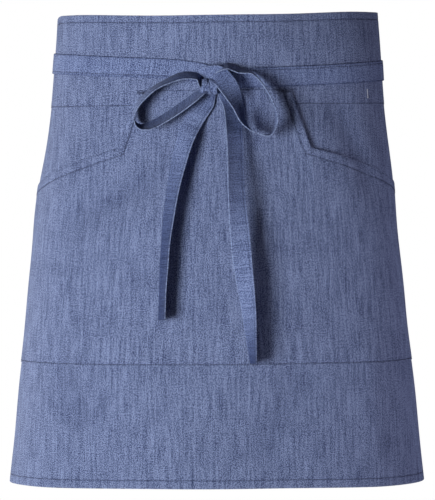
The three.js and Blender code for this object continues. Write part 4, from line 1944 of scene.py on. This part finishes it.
@dataclass
class Ribbon:
    """A loop or tail of the bow."""

    name: str
    node: str
    is_loop: bool
    stitched_edge: Edge
    places: tuple[RibbonPlace, ...]
    form: WaistForm
    wardrobe: Wardrobe
    knot: KnotWrap
    cut: TieCut = TieCut()
    columns: int = 190
    path_points: int = 2001
    stitch_points: int = 260
    look_ahead: float = 0.0005
    hidden_share: float = 0.72
    gathers: tuple[float, float] = (0.45, 0.45)
    pleat_depth: float = 2.2
    pleat_waves: float = 3.0
    curl: float = 0.7
    curl_level: float = 0.33
    flutter: float = 0.35
    flutter_length: float = 9.0
    # Pale wear on the low and the high edge, which also paints the highlight of the edge that faces the
    # light.
    edge_wear_and_highlight: tuple[float, float] = (0.75, 0.2)
    stitch_clear: float = 6.0
    tail_clear: float = 0.8
    pattern_from: float = 9.0
    pattern_step: float = 0.37
    pattern_up: float = 0.6
    work: StitchWork = StitchWork(pitch=2.6, length=2.0, width=0.5, height=0.34)

    def __post_init__(self) -> None:
        """Makes the path, and finds the stretch of it that shows."""
        x, z, out = np.array([(place.x, place.z, place.out) for place in self.places], float).T
        self.path = SpacePath(self.form.in_front(x, z, out))
        share = np.linspace(0.0, 1.0, len(self.places))
        self.tilt = SmoothCurve(share, [place.tilt for place in self.places])
        self.face_shade = SmoothCurve(share, [place.face_shade for place in self.places])
        self.shares = np.linspace(0.0, 1.0, self.path_points)
        points = self.path(self.shares)
        self.lengths = lengths_along(points)
        shown = np.flatnonzero(~self.knot.inside(points, self.hidden_share))
        self.start, self.end = self.lengths[shown[[0, -1]]]

    def share_at(self, along: Array) -> Array:
        """The path's share at a length along it."""
        return np.interp(along, self.lengths, self.shares)

    def surface(self, along: Array, across: Array, out: Array | float) -> Array:
        """Points of the ribbon.

        Args:
            along: length along the path, one number for each column.
            across: from -0.5 to 0.5 over the width, one number for each row.
            out: distance from the middle surface towards the outer face.

        Returns:
            A grid of points.
        """
        share = self.share_at(along)
        ahead = unit(self.path(share + self.look_ahead) - self.path(share - self.look_ahead))
        seen = unit(np.stack([-ahead[:, 2], np.zeros(len(ahead)), ahead[:, 0]], -1))
        tilt = np.radians(self.tilt(share))[:, None]
        width = np.cos(tilt) * seen + np.sin(tilt) * BACKWARD
        width = unit(width - ahead * (width * ahead).sum(-1, keepdims=True))
        face = unit(np.cross(ahead, width))
        gathered = self.cut.share_at(along, self.gathers[0])
        if self.is_loop:
            gathered = np.minimum(gathered, self.cut.share_at(self.lengths[-1] - along, self.gathers[1]))
        gathered = gathered[:, None]
        pleat = (1 - gathered) * self.pleat_depth * np.cos(2 * math.pi * self.pleat_waves * across)
        bend = self.curl * (4 * across * across - self.curl_level) * gathered
        flutter = self.flutter * np.sin(along / self.flutter_length)[:, None] * across
        offset = (pleat + bend + flutter + out)[..., None]
        reach = (across * self.cut.width * gathered)[..., None]
        return self.path(share)[:, None] + width[:, None] * reach + face[:, None] * offset

    def sheet(self) -> ClothSheet:
        """Shapes the ribbon's cloth, both layers as one.

        Returns:
            The sheet.
        """
        along = np.linspace(self.start, self.end, self.columns)
        across = self.cut.rows()
        distance = self.cut.from_stitch(across, self.stitched_edge)
        out = self.cut.pucker.rippled(distance, along[:, None])
        # Painted shade along the sewn edge; the same share thins the cloth there.
        press_shade = self.cut.pucker.mask(distance)
        ply = self.cut.ply - 2 * self.cut.pucker.depth * press_shade
        # Painted shade on faces that turn from the light and on faces under the loops, as the tables give it.
        face_shade = np.clip(self.face_shade(self.share_at(along)), 0.0, 1.0)[:, None]
        shift = (self.pattern_from + len(self.name) * self.pattern_step, self.pattern_up)
        # The pale edges are wear, and also the painted highlight of the ribbon's lit edges.
        return ClothSheet(self.name, self.surface(along, across, out), ply, press_shade,
                          self.cut.wear_and_highlight(across, self.edge_wear_and_highlight), face_shade, shift)

    def runs(self) -> list[StitchRun]:
        """Sews one edge.

        Returns:
            The line of stitches on each face.
        """
        end_clear = self.stitch_clear if self.is_loop else self.tail_clear
        along = np.linspace(self.start + self.stitch_clear, self.end - end_clear, self.stitch_points)
        across = np.array([self.cut.stitch_row(self.stitched_edge)])
        reach = self.cut.ply / 2 - self.cut.pucker.depth
        faces = [self.surface(along, across, face.value * reach)[:, 0] for face in Face]
        outward = unit(faces[0] - faces[1])
        return [StitchRun(points, face.value * outward) for points, face in zip(faces, Face)]

    def build(self) -> None:
        piece = self.sheet().build(self.wardrobe.tie)
        stitches = self.work.build(self.name + "_stitches", self.runs(), self.wardrobe.thread)
        declare_sheet(piece, self.node, (self.cut.width, float(self.end - self.start)),
                      with_pieces=[stitches])


LEFT_TIE = tuple(TiePlace(*row) for row in (
    (163, -38, 2.0),
    (170, -38, 2.0),
    (180, -24, 2.0),
    (191, -10, 2.0),
    (225, -2, 2.0),
    (270, -1, 2.0),
    (330, -7, 2.0),
    (345, -9.5, 2.0),
    (354, -13.5, 2.2),
    (360.5, -18, 3.2),
))
RIGHT_TIE = tuple(TiePlace(*row) for row in (
    (161, -38, 2.0),
    (169, -38, 3.7),
    (180, -24, 3.7),
    (191, -13, 3.7),
    (205, -10, 2.0),
    (270, -12.5, 2.0),
    (325, -18, 2.0),
    (344, -19.5, 2.0),
    (354, -21, 2.4),
    (361, -23, 4.6),
))
# In the bow's tables the fifth column, where given, is painted shade on faces that turn from the light and on
# faces under the loops.
LEFT_LOOP = tuple(RibbonPlace(*row) for row in (
    (-11, -32, 9.5, 95, 0.5),
    (-18.6, -28.5, 13, 100, 0.6),
    (-20.5, -19.2, 14.2, 110, 0.75),
    (-38, -17, 14.6, 111, 0.9),
    (-56, -23.5, 14.6, 105, 0.8),
    (-70, -31, 16, 104, 0.5),
    (-80, -39.5, 18.5, 104, 0.25),
    (-87.8, -48.7, 20.5, 101, 0.1),
    (-92, -59.5, 21.5, 95, 0.1),
    (-91, -67, 21.5, 90, 0.5),
    (-85, -73, 20.5, 76, 0.9),
    (-74, -72.5, 19, 67, 0.85),
    (-56.5, -63.5, 17, 64, 0.6),
    (-35, -49, 15, 65, 0.5),
    (-20, -37.5, 14.5, 66, 0.4),
    (-9, -29, 11, 68, 0.4),
))
RIGHT_LOOP = tuple(RibbonPlace(*row) for row in (
    (-18, -20, 6, 0),
    (-7, -17, 12, 0, 0.2),
    (2.1, -17.8, 19, 5, 0.4),
    (11.8, -29, 25, 13, 0.45),
    (21.2, -48.8, 27, 53, 0.45),
    (28.7, -69, 24, 78, 0.5),
    (41, -80, 22.5, 90, 0.4),
    (58, -82.5, 25, 87, 0.2),
    (65.5, -66, 26, 86, 0.1),
    (60, -44, 25, 88, 0.1),
    (48, -24.5, 22, 91, 0.2),
    (37.6, -14, 18.5, 97, 0.5),
    (24, -11, 16, 106, 0.7),
    (11, -6.5, 15, 107, 0.8),
    (1.5, -10, 12, 104, 0.8),
    (-5, -17, 7, 100, 0.8),
))
LEFT_TAIL = tuple(RibbonPlace(*row) for row in (
    (-5, -30, 8, -6, 0.4),
    (-13, -45, 6, -6, 0.3),
    (-26, -66, 8.5, -12),
    (-34.5, -86, 15, -30),
    (-46, -129, 19, -46, 0.35),
    (-55, -187, 19.5, -60, 0.8),
    (-59, -240, 18, -67, 0.85),
    (-60.7, -285, 17, -70, 0.85),
))
RIGHT_TAIL = tuple(RibbonPlace(*row) for row in (
    (0, -26, 8, 2, 0.4),
    (14.5, -44, 9.5, 12, 0.6),
    (18.2, -80, 20, 36, 0.5),
    (20.8, -146, 29, 29, 0.25),
    (24.5, -190, 28, 6),
    (28, -225, 27.5, -17),
    (34, -270, 25, -42),
    (39.6, -332, 21.5, -71, 1.0),
))


@dataclass(frozen=True)
class SoftLight:
    """A square studio light. Metres, watts and degrees."""

    name: str
    place: tuple[float, float, float]
    aim: tuple[float, float, float]
    size: float
    power: float
    spread: float
    colour: Colour = (1.0, 1.0, 1.0)

    def build(self) -> None:
        """Sets the light up, pointing at its aim."""
        data = bpy.data.lights.new(self.name, "AREA")
        data.size = self.size
        data.energy = self.power
        data.spread = math.radians(self.spread)
        data.color = self.colour
        light = add_object(self.name, data)
        light.location = self.place
        light.rotation_euler = (Vector(self.aim) - Vector(self.place)).to_track_quat("-Z", "Y").to_euler()


@dataclass
class Studio:
    """Camera, lights, floor and surroundings. Metres and degrees, and the lens in millimetres."""

    camera_place: tuple[float, float, float] = (0.0, -5.0, -0.0662)
    camera_level: float = 90.0
    camera_pitch: float = -1.68
    lens: float = 318.6
    lights: tuple[SoftLight, ...] = (
        SoftLight("key_light", (-1.79, -2.76, -0.48), (0.05, -0.12, 0.0), 1.25, 43.5, 120.0,
                  (0.985, 1.0, 1.02)),
        SoftLight("left_light", (-2.02, 1.35, -0.32), (0.0, -0.12, -0.38), 0.6, 3.3, 50.0),
        SoftLight("right_light", (2.5, -0.12, -0.42), (0.0, -0.12, -0.36), 0.6, 1.2, 40.0,
                  (0.97, 0.93, 1.08)),
    )
    ambient: Colour = (0.040, 0.034, 0.033)
    backdrop: Colour = (1.0, 1.0, 1.0)
    floor_height: float = -0.95
    floor_radius: float = 2.4
    floor_sides: int = 96

    def build(self) -> None:
        """Sets up everything that isn't part of the apron."""
        self._camera()
        for light in self.lights:
            light.build()
        self._surroundings()
        self._floor()
        bpy.context.scene.view_settings.view_transform = "Standard"

    def _camera(self) -> None:
        """The camera, level with the waist and tipped a little down."""
        data = bpy.data.cameras.new("front_camera")
        data.lens = self.lens
        camera = add_object("front_camera", data)
        camera.location = self.camera_place
        camera.rotation_euler = (math.radians(self.camera_level + self.camera_pitch), 0.0, 0.0)
        bpy.context.scene.camera = camera

    def _surroundings(self) -> None:
        """A white backdrop that lights the apron only softly."""
        world = bpy.data.worlds.new("white_studio")
        world.use_nodes = True
        graph = NodeGraph(world.node_tree)
        soft, white = (graph.node("ShaderNodeBackground", None, {"Color": (*colour, 1.0)})
                       for colour in (self.ambient, self.backdrop))
        seen = graph.node("ShaderNodeLightPath").outputs["Is Camera Ray"]
        mix = graph.node("ShaderNodeMixShader", None, {"Fac": seen, 1: soft, 2: white})
        graph.node("ShaderNodeOutputWorld", None, {"Surface": mix})
        bpy.context.scene.world = world

    def _floor(self) -> None:
        """A pale round floor well below the hem."""
        turns = np.linspace(0.0, 2 * math.pi, self.floor_sides, endpoint=False)
        ring = [(self.floor_radius * math.cos(t), self.floor_radius * math.sin(t), self.floor_height)
                for t in turns]
        mesh = bpy.data.meshes.new("floor")
        mesh.from_pydata(ring, [], [list(range(len(ring)))])
        mesh.materials.append(FloorFinish().material())
        add_object("floor", mesh)


def main() -> None:
    """Builds the studio and then each sub-assembly of the apron."""
    logging.basicConfig(level=logging.INFO, format="%(name)s: %(message)s")
    Studio().build()
    form = WaistForm()
    wardrobe = Wardrobe()
    knot = KnotWrap(form, wardrobe)
    assemblies = [
        Waistband(form, wardrobe),
        SkirtPanel(form, wardrobe),
        PocketPanel(form, wardrobe),
        WaistTie("tie_left_cloth", "tie_left_wrap", Side.LEFT, Edge.LOW, LEFT_TIE, form, wardrobe),
        WaistTie("tie_right_cloth", "tie_right_wrap", Side.RIGHT, Edge.HIGH, RIGHT_TIE, form, wardrobe,
                 low_edge_shade=1.8),
    ]
    for assembly in assemblies:
        assembly.build()
    knot.build(TieCut())
    bow = [
        Ribbon("loop_left_cloth", "bow_loop_left", True, Edge.LOW, LEFT_LOOP, form, wardrobe, knot),
        Ribbon("loop_right_cloth", "bow_loop_right", True, Edge.LOW, RIGHT_LOOP, form, wardrobe, knot,
               gathers=(0.95, 0.6)),
        Ribbon("tail_left_cloth", "tie_tail_left", False, Edge.HIGH, LEFT_TAIL, form, wardrobe, knot,
               edge_wear_and_highlight=(0.1, 0.6)),
        Ribbon("tail_right_cloth", "tie_tail_right", False, Edge.HIGH, RIGHT_TAIL, form, wardrobe, knot,
               edge_wear_and_highlight=(0.75, 0.35)),
    ]
    for ribbon in bow:
        ribbon.build()


if __name__ == "__main__":
    main()
